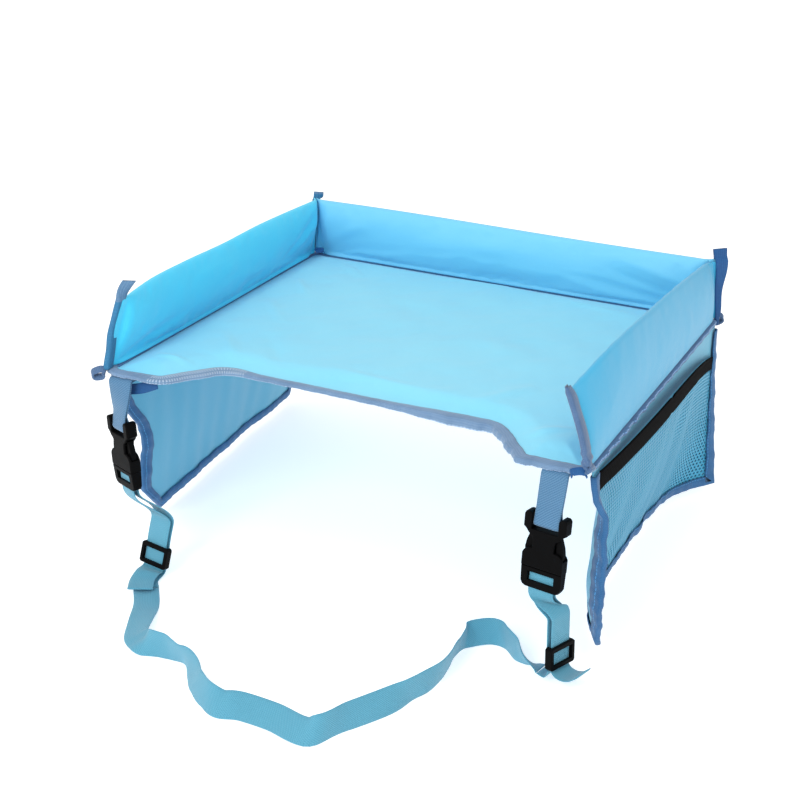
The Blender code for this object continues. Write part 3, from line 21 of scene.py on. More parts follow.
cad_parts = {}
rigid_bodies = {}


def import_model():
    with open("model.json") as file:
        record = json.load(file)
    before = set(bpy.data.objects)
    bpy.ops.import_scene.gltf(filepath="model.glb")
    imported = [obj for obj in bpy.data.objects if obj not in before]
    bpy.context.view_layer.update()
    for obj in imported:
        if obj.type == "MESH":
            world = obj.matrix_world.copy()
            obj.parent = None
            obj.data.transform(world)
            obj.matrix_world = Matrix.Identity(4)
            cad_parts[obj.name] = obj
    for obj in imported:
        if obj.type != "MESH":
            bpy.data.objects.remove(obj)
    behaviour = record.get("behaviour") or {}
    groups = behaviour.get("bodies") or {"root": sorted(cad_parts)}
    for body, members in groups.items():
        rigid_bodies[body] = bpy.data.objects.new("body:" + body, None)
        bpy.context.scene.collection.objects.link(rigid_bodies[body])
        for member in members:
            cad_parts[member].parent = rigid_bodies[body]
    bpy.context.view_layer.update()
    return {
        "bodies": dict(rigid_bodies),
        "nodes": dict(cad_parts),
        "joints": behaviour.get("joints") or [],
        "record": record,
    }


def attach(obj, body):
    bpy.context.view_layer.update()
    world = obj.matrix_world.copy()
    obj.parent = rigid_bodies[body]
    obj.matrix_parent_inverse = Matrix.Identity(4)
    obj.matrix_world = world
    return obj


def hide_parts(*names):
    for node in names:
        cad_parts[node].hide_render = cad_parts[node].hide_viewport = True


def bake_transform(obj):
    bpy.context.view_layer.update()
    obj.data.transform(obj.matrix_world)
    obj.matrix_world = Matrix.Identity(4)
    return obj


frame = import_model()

LOG = logging.getLogger("tray_table")
Array = np.ndarray
Table = tuple[tuple[float, ...], ...]
Colour = tuple[float, float, float]

# Sizes that the frame was built from
HALF_WIDTH = 0.200
HALF_DEPTH = 0.175
CORNER_RADIUS = 0.012
LEG_CUT_DEPTH = 0.044
LOBE_WIDTH = 0.053
LEG_CUT_SLOPE = 0.034
LOBE_RADIUS = 0.014
WAIST_RADIUS = 0.022
GAP = 0.0003
CLOTH = 0.0006
TAPE = 0.0007
TAPE_WIDTH = 0.008
RIM_RISE = 0.0013
FLANGE_TOP = 0.0028
COVER_TOP = 0.0086
LIP_BOTTOM = 0.0003
LIP_TOP = 0.0038
WALL_FOOT = 0.0041
GROUND = -0.160
WEB_WIDTH = 0.020
WEB = 0.0012
PLY_PITCH = 0.0040

# How a strap thins at its selvedges, and how the walls' cloth gives under pressure
SELVEDGE_SHARE = 0.12
CLOTH_STRETCH = 20
CLOTH_BEND = 0.4
CLOTH_MOMENTS = 20

# Where the belt lies: each row holds one edge of it, then the other, from the left to the right
BELT_EDGES = (
    ((-0.1389, -0.2320, -0.1590), (-0.1191, -0.2327, -0.1590)),
    ((-0.1281, -0.2547, -0.1585), (-0.1085, -0.2567, -0.1547)),
    ((-0.1187, -0.2739, -0.1590), (-0.1003, -0.2764, -0.1521)),
    ((-0.1092, -0.2855, -0.1590), (-0.0923, -0.2810, -0.1490)),
    ((-0.0981, -0.2914, -0.1590), (-0.0870, -0.2850, -0.1440)),
    ((-0.0815, -0.2890, -0.1590), (-0.0745, -0.2870, -0.1410)),
    ((-0.0693, -0.2880, -0.1590), (-0.0642, -0.2920, -0.1410)),
    ((-0.0599, -0.2892, -0.1590), (-0.0510, -0.2969, -0.1430)),
    ((-0.0482, -0.3024, -0.1590), (-0.0366, -0.3054, -0.1435)),
    ((-0.0384, -0.3132, -0.1590), (-0.0243, -0.3193, -0.1462)),
    ((-0.0239, -0.3267, -0.1590), (-0.0104, -0.3268, -0.1445)),
    ((-0.0076, -0.3365, -0.1590), (0.0020, -0.3247, -0.1465)),
    ((0.0100, -0.3325, -0.1590), (0.0180, -0.3190, -0.1470)),
    ((0.0319, -0.3333, -0.1590), (0.0400, -0.3195, -0.1470)),
    ((0.0648, -0.3384, -0.1590), (0.0703, -0.3249, -0.1455)),
    ((0.0827, -0.3115, -0.1590), (0.0840, -0.2989, -0.1440)),
    ((0.1001, -0.2815, -0.1590), (0.1000, -0.2702, -0.1430)),
    ((0.1078, -0.2585, -0.1590), (0.1096, -0.2552, -0.1400)),
    ((0.1140, -0.2440, -0.1590), (0.1150, -0.2414, -0.1396)),
    ((0.1165, -0.2263, -0.1590), (0.1190, -0.2296, -0.1396)),
    ((0.1152, -0.2065, -0.1590), (0.1191, -0.2151, -0.1420)),
    ((0.1130, -0.1910, -0.1590), (0.1176, -0.1990, -0.1425)),
    ((0.1140, -0.1815, -0.1590), (0.1170, -0.1820, -0.1400)),
    ((0.1165, -0.1765, -0.1590), (0.1150, -0.1692, -0.1410)),
    ((0.1240, -0.1685, -0.1590), (0.1207, -0.1610, -0.1410)),
    ((0.1340, -0.1625, -0.1590), (0.1285, -0.1565, -0.1410)),
    ((0.1446, -0.1650, -0.1590), (0.1370, -0.1590, -0.1420)),
    ((0.1575, -0.1766, -0.1590), (0.1520, -0.1720, -0.1410)),
    ((0.1705, -0.1770, -0.1587), (0.1655, -0.1900, -0.1443)),
)


# Numbers and curves


def unit(vectors: Array) -> Array:
    """Vectors scaled to length one along the last axis."""
    vectors = np.asarray(vectors, float)
    return vectors / np.linalg.norm(vectors, axis=-1, keepdims=True)


def smooth(share: Array) -> Array:
    """A share eased at both ends: three squares less two cubes, held between 0 and 1."""
    share = np.clip(share, 0, 1)
    return share * share * (3 - 2 * share)


def curve_at(places: Array, values: Array, wanted: Array) -> Array:
    """Read a smooth curve through a table.

    Each stretch is the cubic that has the table's values and mean slopes at its two ends.

    Args:
        places: rising places of the table's rows.
        values: the table, one row to a place.
        wanted: the places to read, as an array of any shape.

    Returns:
        The curve's values at the wanted places.
    """
    places = np.asarray(places, float)
    values = np.asarray(values, float)
    wanted = np.clip(np.asarray(wanted, float), places[0], places[-1])
    slopes = np.gradient(values, places, axis=0)
    at = np.clip(np.searchsorted(places, wanted, side="right") - 1, 0, len(places) - 2)
    span = places[at + 1] - places[at]
    share = (wanted - places[at]) / span
    if values.ndim > 1:
        share, span = share[..., None], span[..., None]
    start = (1 + 2 * share) * (1 - share) ** 2
    end = share**2 * (3 - 2 * share)
    leave = share * (1 - share) ** 2 * span
    arrive = share**2 * (share - 1) * span
    return start * values[at] + end * values[at + 1] + leave * slopes[at] + arrive * slopes[at + 1]


def travelled(places: Array) -> Array:
    """The distance along a line of points, zero at its first."""
    steps = np.linalg.norm(np.diff(places, axis=0), axis=1)
    return np.concatenate([[0.0], np.cumsum(steps)])


def ripple(x: Array, y: Array, seed: int, size: float, terms: int = 7) -> Array:
    """Soft unevenness: a sum of sine waves in chance directions, from -1 to 1 or so.

    Args:
        x: first coordinate in metres.
        y: second coordinate in metres.
        seed: fixes the directions and phases.
        size: the mean wavelength in metres.
        terms: how many waves are added.

    Returns:
        The waves' sum, an array like x.
    """
    chance = np.random.default_rng(seed)
    total = np.zeros(np.broadcast(x, y).shape)
    for _ in range(terms):
        angle = chance.uniform(0, math.pi)
        length = size * chance.uniform(0.6, 1.7)
        phase = chance.uniform(0, 2 * math.pi)
        along = x * math.cos(angle) + y * math.sin(angle)
        total = total + np.sin(2 * math.pi * along / length + phase)
    return total / math.sqrt(terms)


def bell(x: Array, middle: float, width: float) -> Array:
    """A bump of height one at a middle: e to minus the square of the distance over the width."""
    return np.exp(-(((x - middle) / width) ** 2))


def sewn_wave(along: Array, waves: Table, fade: float) -> Array:
    """How sewn tape waves: sines of the distance along it, which die away at both its ends.

    Args:
        along: the distance along the tape at each station.
        waves: the height, length and phase of each sine.
        fade: the length over which they die away.

    Returns:
        The tape's offset at each station.
    """
    total = sum(height * np.sin(along * 2 * math.pi / length + phase) for height, length, phase in waves)
    return total * np.minimum(1, np.minimum(along, along[-1] - along) / fade)


@dataclass(frozen=True)
class Crease:
    """A soft ridge or valley in cloth, along a straight line in plan."""

    start: tuple[float, float]
    end: tuple[float, float]
    width: float
    height: float

    def lift(self, x: Array, y: Array) -> Array:
        """The crease's height at places: a bell across the line that fades towards both its ends."""
        a, b = np.array(self.start), np.array(self.end)
        length = float(np.linalg.norm(b - a))
        along = (b - a) / length
        run = (x - a[0]) * along[0] + (y - a[1]) * along[1]
        off = (y - a[1]) * along[0] - (x - a[0]) * along[1]
        fade = np.sin(math.pi * np.clip(run / length, 0, 1)) ** 0.8
        return self.height * fade * bell(off, 0, self.width)


def lifted_by(creases: tuple[Crease, ...], x: Array, y: Array) -> Array:
    """The sum of several creases at places."""
    total = np.zeros(np.broadcast(x, y).shape)
    for crease in creases:
        total = total + crease.lift(x, y)
    return total


# Meshes


def grid_faces(rows: int, columns: int, start: int = 0, flip: bool = False) -> Array:
    """The four-sided faces of a grid of points, row after row.

    Args:
        rows: the grid's count of rows.
        columns: the grid's count of columns.
        start: the first point's number.
        flip: turns the faces to the other side.

    Returns:
        One row of four point numbers to a face.
    """
    r, c = np.meshgrid(np.arange(rows - 1), np.arange(columns - 1), indexing="ij")
    first = (r * columns + c).ravel() + start
    faces = np.column_stack([first, first + 1, first + columns + 1, first + columns])
    return faces[:, ::-1] if flip else faces


def rim_of(rows: int, columns: int) -> Array:
    """The point numbers round the edge of a grid, in order."""
    numbers = np.arange(rows * columns).reshape(rows, columns)
    return np.concatenate([numbers[0, :-1], numbers[:-1, -1], numbers[-1, :0:-1], numbers[:0:-1, 0]])


def linked(name: str, data: bpy.types.ID) -> Object:
    """A new object in the scene, round a mesh, a lamp or a camera."""
    made = bpy.data.objects.new(name, data)
    bpy.context.scene.collection.objects.link(made)
    return made


def make_piece(
    name: str,
    points: Array,
    faces: Array,
    spread: Array,
    material: Material,
    caps: tuple[Array, ...] = (),
) -> Object:
    """Make a mesh object from arrays, with its UV map in metres.

    Points that fall together are merged, and the faces are turned outwards.

    Args:
        name: the piece's name.
        points: one row of x, y and z to a point.
        faces: one row of four point numbers to a face.
        spread: one row of u and v to a point, before any are merged.
        material: its finish.
        caps: faces of other counts, each an array of point numbers.

    Returns:
        The new object, at the origin.
    """
    _, first, merged = np.unique(np.round(points, 7), axis=0, return_index=True, return_inverse=True)
    merged = merged.reshape(-1)
    kept = points[first]
    four_sided = np.full(len(faces), faces.shape[1])
    counts = np.concatenate([four_sided, [len(cap) for cap in caps]]).astype(np.int32)
    corners = np.concatenate([faces.ravel(), *caps]).astype(np.int64)
    mesh = bpy.data.meshes.new(name)
    mesh.vertices.add(len(kept))
    mesh.vertices.foreach_set("co", kept.astype(np.float32).ravel())
    mesh.loops.add(len(corners))
    mesh.loops.foreach_set("vertex_index", merged[corners].astype(np.int32))
    mesh.polygons.add(len(counts))
    mesh.polygons.foreach_set("loop_start", np.concatenate([[0], np.cumsum(counts)[:-1]]).astype(np.int32))
    mesh.polygons.foreach_set("use_smooth", np.ones(len(counts), bool))
    layer = mesh.uv_layers.new(name="spread")
    layer.data.foreach_set("uv", spread[corners].astype(np.float32).ravel())
    mesh.update(calc_edges=True)
    mesh.validate()
    mesh.materials.append(material)
    turn_outwards(mesh)
    return linked(name, mesh)


def turn_outwards(mesh: Mesh) -> None:
    """Turn every face of a closed mesh outwards."""
    work = bmesh.new()
    work.from_mesh(mesh)
    bmesh.ops.recalc_face_normals(work, faces=work.faces)
    work.to_mesh(mesh)
    work.free()


def thin_sheet(name: str, upper: Array, lower: Array, spread: Array, material: Material) -> Object:
    """A closed sheet between two grids of points, joined round the rim.

    Args:
        name: the piece's name.
        upper: the upper side, rows by columns by three.
        lower: the lower side, the same shape.
        spread: u and v of each grid point, rows by columns by two.
        material: its finish.

    Returns:
        The new object.
    """
    rows, columns = upper.shape[:2]
    count = rows * columns
    points = np.concatenate([upper.reshape(-1, 3), lower.reshape(-1, 3)])
    rim = rim_of(rows, columns)
    onward = np.roll(rim, -1)
    walls = np.column_stack([rim, rim + count, onward + count, onward])
    faces = np.concatenate([grid_faces(rows, columns), grid_faces(rows, columns, count, True), walls])
    flat = spread.reshape(-1, 2)
    return make_piece(name, points, faces, np.concatenate([flat, flat]), material)


def swept(name: str, rings: Array, spread: Array, material: Material) -> Object:
    """A closed profile carried along a path, with flat ends.

    Args:
        name: the piece's name.
        rings: the profile at each station, stations by points by three, not closed.
        spread: u and v, stations by points plus one by two, so that v runs on at the seam.
        material: its finish.

    Returns:
        The new object.
    """
    closed = np.concatenate([rings, rings[:, :1]], axis=1)
    rows, columns = closed.shape[:2]
    first = np.arange(columns - 1)
    ends = (first, first[::-1] + (rows - 1) * columns)
    faces = grid_faces(rows, columns)
    return make_piece(name, closed.reshape(-1, 3), faces, spread.reshape(-1, 2), material, ends)


def laid_out(rings: Array) -> Array:
    """U and v of a swept profile: the distance along its path, and the distance round it."""
    middle = rings.mean(axis=1)
    along = travelled(middle)
    section = np.concatenate([rings[len(rings) // 2], rings[len(rings) // 2][:1]])
    round_it = travelled(section)
    u, v = np.meshgrid(along, round_it, indexing="ij")
    return np.stack([u, v], axis=-1)


def squared(places: Array, sides: Array) -> tuple[Array, Array]:
    """Directions of a strap's width and thickness that are square to the line that it follows."""
    tangents = unit(np.gradient(np.asarray(places, float), axis=0))
    sides = np.asarray(sides, float)
    sides = unit(sides - tangents * (sides * tangents).sum(axis=1, keepdims=True))
    return sides, np.cross(tangents, sides)


def strap(
    name: str,
    places: Array,
    sides: Array,
    offs: Array,
    material: Material,
    width: float = WEB_WIDTH,
    thick: float = WEB,
    columns: int = 9,
) -> Object:
    """A flat woven strap along a line, with rounded selvedges.

    A point is the line's place, plus its share of half the width along the width direction,
    plus or minus half a thickness that thins towards the selvedges by an eighth power.

    Args:
        name: the piece's name.
        places: the strap's middle line.
        sides: the direction of its width at each place.
        offs: the direction of its thickness at each place.
        material: its finish.
        width: the strap's width.
        thick: its thickness.
        columns: how many points run across it.

    Returns:
        The new object.
    """
    share = np.sin(np.linspace(-math.pi / 2, math.pi / 2, columns))
    deep = thick / 2 * np.sqrt(np.clip(1 - share**8, SELVEDGE_SHARE, 1))
    level = places[:, None] + sides[:, None] * (share * width / 2)[None, :, None]
    lift = offs[:, None] * deep[None, :, None]
    u, v = np.meshgrid(travelled(places), share * width / 2, indexing="ij")
    return thin_sheet(name, level + lift, level - lift, np.stack([u, v], axis=-1), material)


def baked(piece: Object) -> Object:
    """Apply every modifier of a piece to its mesh."""
    bpy.context.view_layer.update()
    graph = bpy.context.evaluated_depsgraph_get()
    shown = piece.evaluated_get(graph)
    mesh = bpy.data.meshes.new_from_object(shown, preserve_all_data_layers=True, depsgraph=graph)
    old = piece.data
    piece.modifiers.clear()
    piece.data = mesh
    mesh.name = old.name
    bpy.data.meshes.remove(old)
    mesh.polygons.foreach_set("use_smooth", np.ones(len(mesh.polygons), bool))
    return piece


def subdivided(piece: Object, levels: int = 1) -> Object:
    """Smooth a piece by subdivision, and apply it."""
    finer = piece.modifiers.new("finer", "SUBSURF")
    finer.levels = finer.render_levels = levels
    finer.boundary_smooth = "PRESERVE_CORNERS"
    return baked(piece)


def points_of(mesh: Mesh) -> Array:
    """The points of a mesh as an array."""
    flat = np.empty(len(mesh.vertices) * 3, np.float32)
    mesh.vertices.foreach_get("co", flat)
    return flat.reshape(-1, 3).astype(float)


def inflated(piece: Object, held: Array, pressure: float, cap: float) -> Object:
    """Blow a padded piece up as cloth under pressure, and keep the result.

    Args:
        piece: a closed mesh.
        held: whether a seam holds each point.
        pressure: the pressure inside.
        cap: the furthest that a point may move.

    Returns:
        The same object, with its points moved.
    """
    before = points_of(piece.data)
    group = piece.vertex_groups.new(name="seams")
    group.add(np.flatnonzero(held).tolist(), 1.0, "REPLACE")
    cloth = piece.modifiers.new("cloth", "CLOTH")
    cloth.settings.use_pressure = True
    cloth.settings.uniform_pressure_force = pressure
    cloth.settings.tension_stiffness = CLOTH_STRETCH
    cloth.settings.compression_stiffness = CLOTH_STRETCH
    cloth.settings.bending_stiffness = CLOTH_BEND
    cloth.settings.vertex_group_mass = "seams"
    cloth.settings.effector_weights.gravity = 0
    cloth.collision_settings.use_collision = False
    cloth.point_cache.frame_start = 1
    cloth.point_cache.frame_end = CLOTH_MOMENTS
    scene = bpy.context.scene
    for moment in range(1, CLOTH_MOMENTS + 1):
        scene.frame_set(moment)
    shown = piece.evaluated_get(bpy.context.evaluated_depsgraph_get())
    after = points_of(shown.to_mesh())
    shown.to_mesh_clear()
    piece.modifiers.clear()
    scene.frame_set(1)
    move = after - before
    far = np.linalg.norm(move, axis=1, keepdims=True)
    move = move * np.minimum(1, cap / np.maximum(far, 1e-9))
    piece.data.vertices.foreach_set("co", (before + move).astype(np.float32).ravel())
    piece.data.update()
    piece.vertex_groups.clear()
    LOG.info("%s moved up to %.1f mm", piece.name, float(np.linalg.norm(move, axis=1).max()) * 1000)
    return piece


# Shader maths


def operator(operation: str, reflected: bool = False) -> Callable[["Link", "Link | float"], "Link"]:
    """One of Link's operators, which adds a Math node, with its two values swapped where it is reflected."""

    def method(self: "Link", other: "Link | float") -> "Link":
        """What the node gives for the two values."""
        values = (other, self) if reflected else (self, other)
        return self.sheet.node("ShaderNodeMath", {"operation": operation}, dict(enumerate(values)))

    return method


class Link:
    """A number that a shader works out at each point, with Python's operators on it."""

    def __init__(self, sheet: "NodeSheet", socket: bpy.types.NodeSocket) -> None:
        """Keep the sheet and the socket."""
        self.sheet = sheet
        self.socket = socket

    __add__, __radd__ = operator("ADD"), operator("ADD", True)
    __sub__, __rsub__ = operator("SUBTRACT"), operator("SUBTRACT", True)
    __mul__, __rmul__ = operator("MULTIPLY"), operator("MULTIPLY", True)
    __truediv__, __rtruediv__ = operator("DIVIDE"), operator("DIVIDE", True)

    def maths(self, operation: str, *values: float) -> "Link":
        """Add a Math node that takes this value and any others."""
        return self.sheet.node("ShaderNodeMath", {"operation": operation}, dict(enumerate([self, *values])))

    def wave(self) -> "Link":
        """Sine."""
        return self.maths("SINE")

    def ribs(self, pitch: float) -> "Link":
        """Ribs from 0 to 1, by a sine with a pitch in metres."""
        return (self * (2 * math.pi / pitch)).wave() * 0.5 + 0.5

    def size(self) -> "Link":
        """Absolute value."""
        return self.maths("ABSOLUTE")

    def over(self, edge: float) -> "Link":
        """1 where this is greater than an edge, and 0 elsewhere."""
        return self.maths("GREATER_THAN", edge)

    def under(self, edge: float) -> "Link":
        """1 where this is less than an edge, and 0 elsewhere."""
        return self.maths("LESS_THAN", edge)

    def part(self) -> "Link":
        """What is left over a whole number."""
        return self.maths("FRACT")


class NodeSheet:
    """The nodes of one material."""

    def __init__(self, name: str) -> None:
        """Start an empty material with a Principled shader."""
        self.material = bpy.data.materials.new(name)
        self.material.use_nodes = True
        self.tree = self.material.node_tree
        self.tree.nodes.clear()
        self.surface = self.tree.nodes.new("ShaderNodeBsdfPrincipled")
        output = self.tree.nodes.new("ShaderNodeOutputMaterial")
        self.tree.links.new(self.surface.outputs[0], output.inputs["Surface"])

    def node(self, kind: str, settings: dict, inputs: dict, output: int | str = 0) -> Link:
        """Add any node.

        Args:
            kind: the node's type.
            settings: its own properties, set before its sockets.
            inputs: a value or a link for each socket, by number or name.
            output: which of its outputs is wanted.

        Returns:
            That output, as a link.
        """
        made = self.tree.nodes.new(kind)
        for key, value in settings.items():
            setattr(made, key, value)
        for key, value in inputs.items():
            self.plug(made.inputs[key], value)
        return Link(self, made.outputs[output])

    def plug(self, socket: bpy.types.NodeSocket, value: "Link | float | Colour") -> None:
        """Link a value into a socket, or set the socket to a number or a colour."""
        if isinstance(value, Link):
            self.tree.links.new(value.socket, socket)
        else:
            socket.default_value = (*value, 1) if isinstance(value, tuple) else value

    def spread(self) -> tuple[Link, Link]:
        """The piece's own u and v, in metres."""
        place = self.node("ShaderNodeUVMap", {"uv_map": "spread"}, {})
        return self.parted(place)[:2]

    def place(self) -> Link:
        """The place on the piece, as Object coordinates."""
        return self.node("ShaderNodeTexCoord", {}, {}, "Object")

    def parted(self, vector: Link) -> tuple[Link, Link, Link]:
        """The three numbers of a vector."""
        made = self.tree.nodes.new("ShaderNodeSeparateXYZ")
        self.plug(made.inputs[0], vector)
        return tuple(Link(self, output) for output in made.outputs)

    def noise(self, scale: float, detail: float = 2.0, vector: Link | None = None) -> Link:
        """Cloudy noise from 0 to 1, by default on Object coordinates."""
        inputs = {"Vector": vector or self.place(), "Scale": scale, "Detail": detail}
        return self.node("ShaderNodeTexNoise", {}, inputs)

    def blend(self, share: Link | float, first: Colour | Link, second: Colour | Link) -> Link:
        """A mix of two colours by a share."""
        return self.node("ShaderNodeMix", {"data_type": "RGBA"}, {0: share, 6: first, 7: second}, 2)

    def bumped(self, height: Link, distance: float, strength: float = 1.0) -> Link:
        """A Normal raised by a height from 0 to 1, over a distance in metres."""
        return self.node("ShaderNodeBump", {}, {"Height": height, "Distance": distance, "Strength": strength})

    def finish(self, **sockets: "Link | float | Colour") -> Material:
        """Set the Principled shader's sockets, by their names with _ for a space, and give the material."""
        for key, value in sockets.items():
            self.plug(self.surface.inputs[key.replace("_", " ")], value)
        return self.material


# The upper part of the two loose ribbons, dark and light thread
PALE_RIBBON = ((0.060, 0.170, 0.330), (0.290, 0.470, 0.670))

# The white ladder stitch that shows at the front left: its rungs' pitch, its rows and where it starts
WHITE_THREAD = (0.62, 0.72, 0.82)
LADDER_PITCH = 0.0021
LADDER_ROW = 0.0034
LADDER_FOOT = 0.0095


def shade(colour: Colour, share: float) -> Colour:
    """A colour made darker, below 1, or lighter, above 1."""
    return tuple(min(1.0, part * share) for part in colour)


@dataclass(frozen=True)
class ClothFinish:
    """Plain-woven polyester with a soft sheen and faint creases."""

    name: str
    colour: Colour
    deep: Colour
    thread: float = 0.0009
    creases: float = 26.0
    roughness: float = 0.52

    def made(self) -> Material:
        """Threads over and under by two sines, cloudy tone, and fine creases in the bump."""
        sheet = NodeSheet(self.name)
        u, v = sheet.spread()
        turn = 2 * math.pi / self.thread
        weave = (u * turn).wave() * (v * turn).wave()
        cloud = sheet.noise(7.0, 3.0)
        fine = sheet.noise(self.creases, 4.0)
        tone = sheet.blend(cloud * 0.55 + fine * 0.25, self.deep, self.colour)
        tone = sheet.blend(weave * 0.05 + 0.05, tone, shade(self.deep, 0.8))
        height = weave * 0.035 + fine * 0.9
        return sheet.finish(
            Base_Color=tone,
            Roughness=fine * 0.14 + (self.roughness - 0.07),
            Normal=sheet.bumped(height, 0.0012),
            Sheen_Weight=0.25,
            Sheen_Roughness=0.5,
            Specular_IOR_Level=0.4,
        )


@dataclass(frozen=True)
class TapeFinish:
    """Ribbed binding tape with a row of stitches near each inner edge."""

    name: str
    colour: Colour
    light: Colour
    rows: tuple[float, ...] = (0.0014, 0.0180)
    rib: float = 0.0013
    grain: float = 0.0011
    stitch: float = 0.0030
    stitched_share: float = 0.72
    thread: float = 0.00038
    ladder: tuple[float, float] | None = None
    pale_above: float | None = None
    sheen: float = 0.3

    def made(self) -> Material:
        """Cross ribs by a sine of u, speckled threads, cloudy patches of painted shade for the folds, and
        stitches as dashes along rows of v.
        """
        sheet = NodeSheet(self.name)
        u, v = sheet.spread()
        weave = u.ribs(self.rib) * v.ribs(self.grain)
        cloud = sheet.noise(60.0, 3.0)
        speck = sheet.noise(900.0, 1.0)
        thread = weave * 0.55 + speck * 0.45
        tone = sheet.blend(thread, self.colour, self.light)
        if self.pale_above:
            above = sheet.parted(sheet.place())[2].over(self.pale_above)
            tone = sheet.blend(above, tone, sheet.blend(thread, *PALE_RIBBON))
        # Cloudy patches darken the tape: painted shade, standing in for the shade in its folds.
        tone = sheet.blend(cloud * 0.7, tone, shade(self.colour, 0.6))
        dash = (u / self.stitch).part().under(self.stitched_share)
        height = weave * 0.5 + speck * 0.2
        for row in self.rows:
            line = (v - row).size().under(self.thread) * dash
            tone = sheet.blend(line * 0.75, tone, shade(self.light, 1.5))
            height = height + line * 0.8
        if self.ladder:
            x = sheet.parted(sheet.place())[0]
            rung = (u / LADDER_PITCH).part().under(0.45) * x.over(self.ladder[0]) * x.under(self.ladder[1])
            rung = rung * (v / LADDER_ROW).part().over(0.30) * v.over(LADDER_FOOT)
            tone = sheet.blend(rung * 0.5, tone, WHITE_THREAD)
        return sheet.finish(
            Base_Color=tone, Roughness=0.72, Normal=sheet.bumped(height, 0.00035), Sheen_Weight=self.sheen
        )


@dataclass(frozen=True)
class WebbingFinish:
    """Flat woven webbing: a twill of slanting ribs between two plain selvedges."""

    name: str
    colour: Colour
    light: Colour
    pitch: float = 0.0016
    slant: float = 0.9
    warp: float = 0.00125
    selvedge: float = 0.0014

    def made(self) -> Material:
        """A sine across u plus a slant of v makes the twill; the selvedge has level ribs."""
        sheet = NodeSheet(self.name)
        u, v = sheet.spread()
        twill = (u + v * self.slant).ribs(self.pitch)
        warp = v.ribs(self.warp)
        edge = v.size().over(WEB_WIDTH / 2 - self.selvedge)
        pattern = twill * (1 - edge) + u.ribs(self.pitch / 1.3) * edge
        cloud = sheet.noise(40.0, 3.0)
        tone = sheet.blend(pattern * 0.6 + warp * 0.25, self.colour, self.light)
        tone = sheet.blend(cloud * 0.35, tone, shade(self.colour, 0.78))
        return sheet.finish(
            Base_Color=tone,
            Roughness=0.62,
            Normal=sheet.bumped(pattern * 0.7 + warp * 0.3, 0.0003),
            Sheen_Weight=0.25,
        )


@dataclass(frozen=True)
class ElasticFinish:
    """Knitted black elastic, ribbed along its length and gathered across it."""

    name: str
    colour: Colour
    rib: float = 0.0016
    gather: float = 0.0034

    def made(self) -> Material:
        """Fine ribs by a sine of v, and gathers by a sine of u."""
        sheet = NodeSheet(self.name)
        u, v = sheet.spread()
        rib, gather = v.ribs(self.rib), u.ribs(self.gather)
        dust = sheet.noise(160.0, 2.0)
        tone = sheet.blend(dust * 0.5 + rib * 0.2, self.colour, shade(self.colour, 2.4))
        return sheet.finish(
            Base_Color=tone,
            Roughness=0.82,
            Normal=sheet.bumped(rib * 0.5 + gather * 0.35, 0.0004),
            Specular_IOR_Level=0.03,
        )


@dataclass(frozen=True)
class NetFinish:
    """Knitted polyester net thread."""

    name: str
    colour: Colour
    deep: Colour

    def made(self) -> Material:
        """Cloudy tone and a grain of knitted loops."""
        sheet = NodeSheet(self.name)
        cloud = sheet.noise(20.0, 3.0)
        loop = sheet.noise(1500.0, 1.0)
        tone = sheet.blend(cloud * 0.7 + loop * 0.2, self.deep, self.colour)
        normal = sheet.bumped(loop, 0.0002)
        return sheet.finish(Base_Color=tone, Roughness=0.6, Normal=normal, Sheen_Weight=0.2)


@dataclass(frozen=True)
class MouldedFinish:
    """Injection-moulded acetal: fine spark texture, worn a little shinier in cloudy patches."""

    name: str
    colour: Colour
    roughness: float = 0.46
    gloss: float = 0.035

    def made(self) -> Material:
        """Grain and cloudy gloss on Object coordinates."""
        sheet = NodeSheet(self.name)
        grain = sheet.noise(2600.0, 2.0)
        rub = sheet.noise(85.0, 4.0)
        tone = sheet.blend(rub * 0.6 + grain * 0.2, self.colour, shade(self.colour, 2.1))
        return sheet.finish(
            Base_Color=tone,
            Roughness=rub * 0.16 + grain * 0.08 + (self.roughness - 0.12),
            Normal=sheet.bumped(grain, 0.00006),
            Specular_IOR_Level=self.gloss,
        )


@dataclass(frozen=True)
class InnerFinish:
    """A hidden core: foam or stiff sheet."""

    name: str
    colour: Colour
    pore: float

    def made(self) -> Material:
        """Pores as noise in the tone and the bump."""
        sheet = NodeSheet(self.name)
        pore = sheet.noise(self.pore, 3.0)
        tone = sheet.blend(pore, shade(self.colour, 0.85), self.colour)
        return sheet.finish(Base_Color=tone, Roughness=0.85, Normal=sheet.bumped(pore, 0.0003))


# Shapes that the frame was built from


def outline_corners() -> tuple[tuple[float, float, float], ...]:
    """The tray's corners in plan, anticlockwise from the front left, each with its radius."""
    mouth = HALF_WIDTH - LOBE_WIDTH
    floor = mouth - LEG_CUT_SLOPE
    cut_y = -HALF_DEPTH + LEG_CUT_DEPTH
    return (
        (-HALF_WIDTH, -HALF_DEPTH, CORNER_RADIUS),
        (-mouth, -HALF_DEPTH, LOBE_RADIUS),
        (-floor, cut_y, WAIST_RADIUS),
        (floor, cut_y, WAIST_RADIUS),
        (mouth, -HALF_DEPTH, LOBE_RADIUS),
        (HALF_WIDTH, -HALF_DEPTH, CORNER_RADIUS),
        (HALF_WIDTH, HALF_DEPTH, CORNER_RADIUS),
        (-HALF_WIDTH, HALF_DEPTH, CORNER_RADIUS),
    )


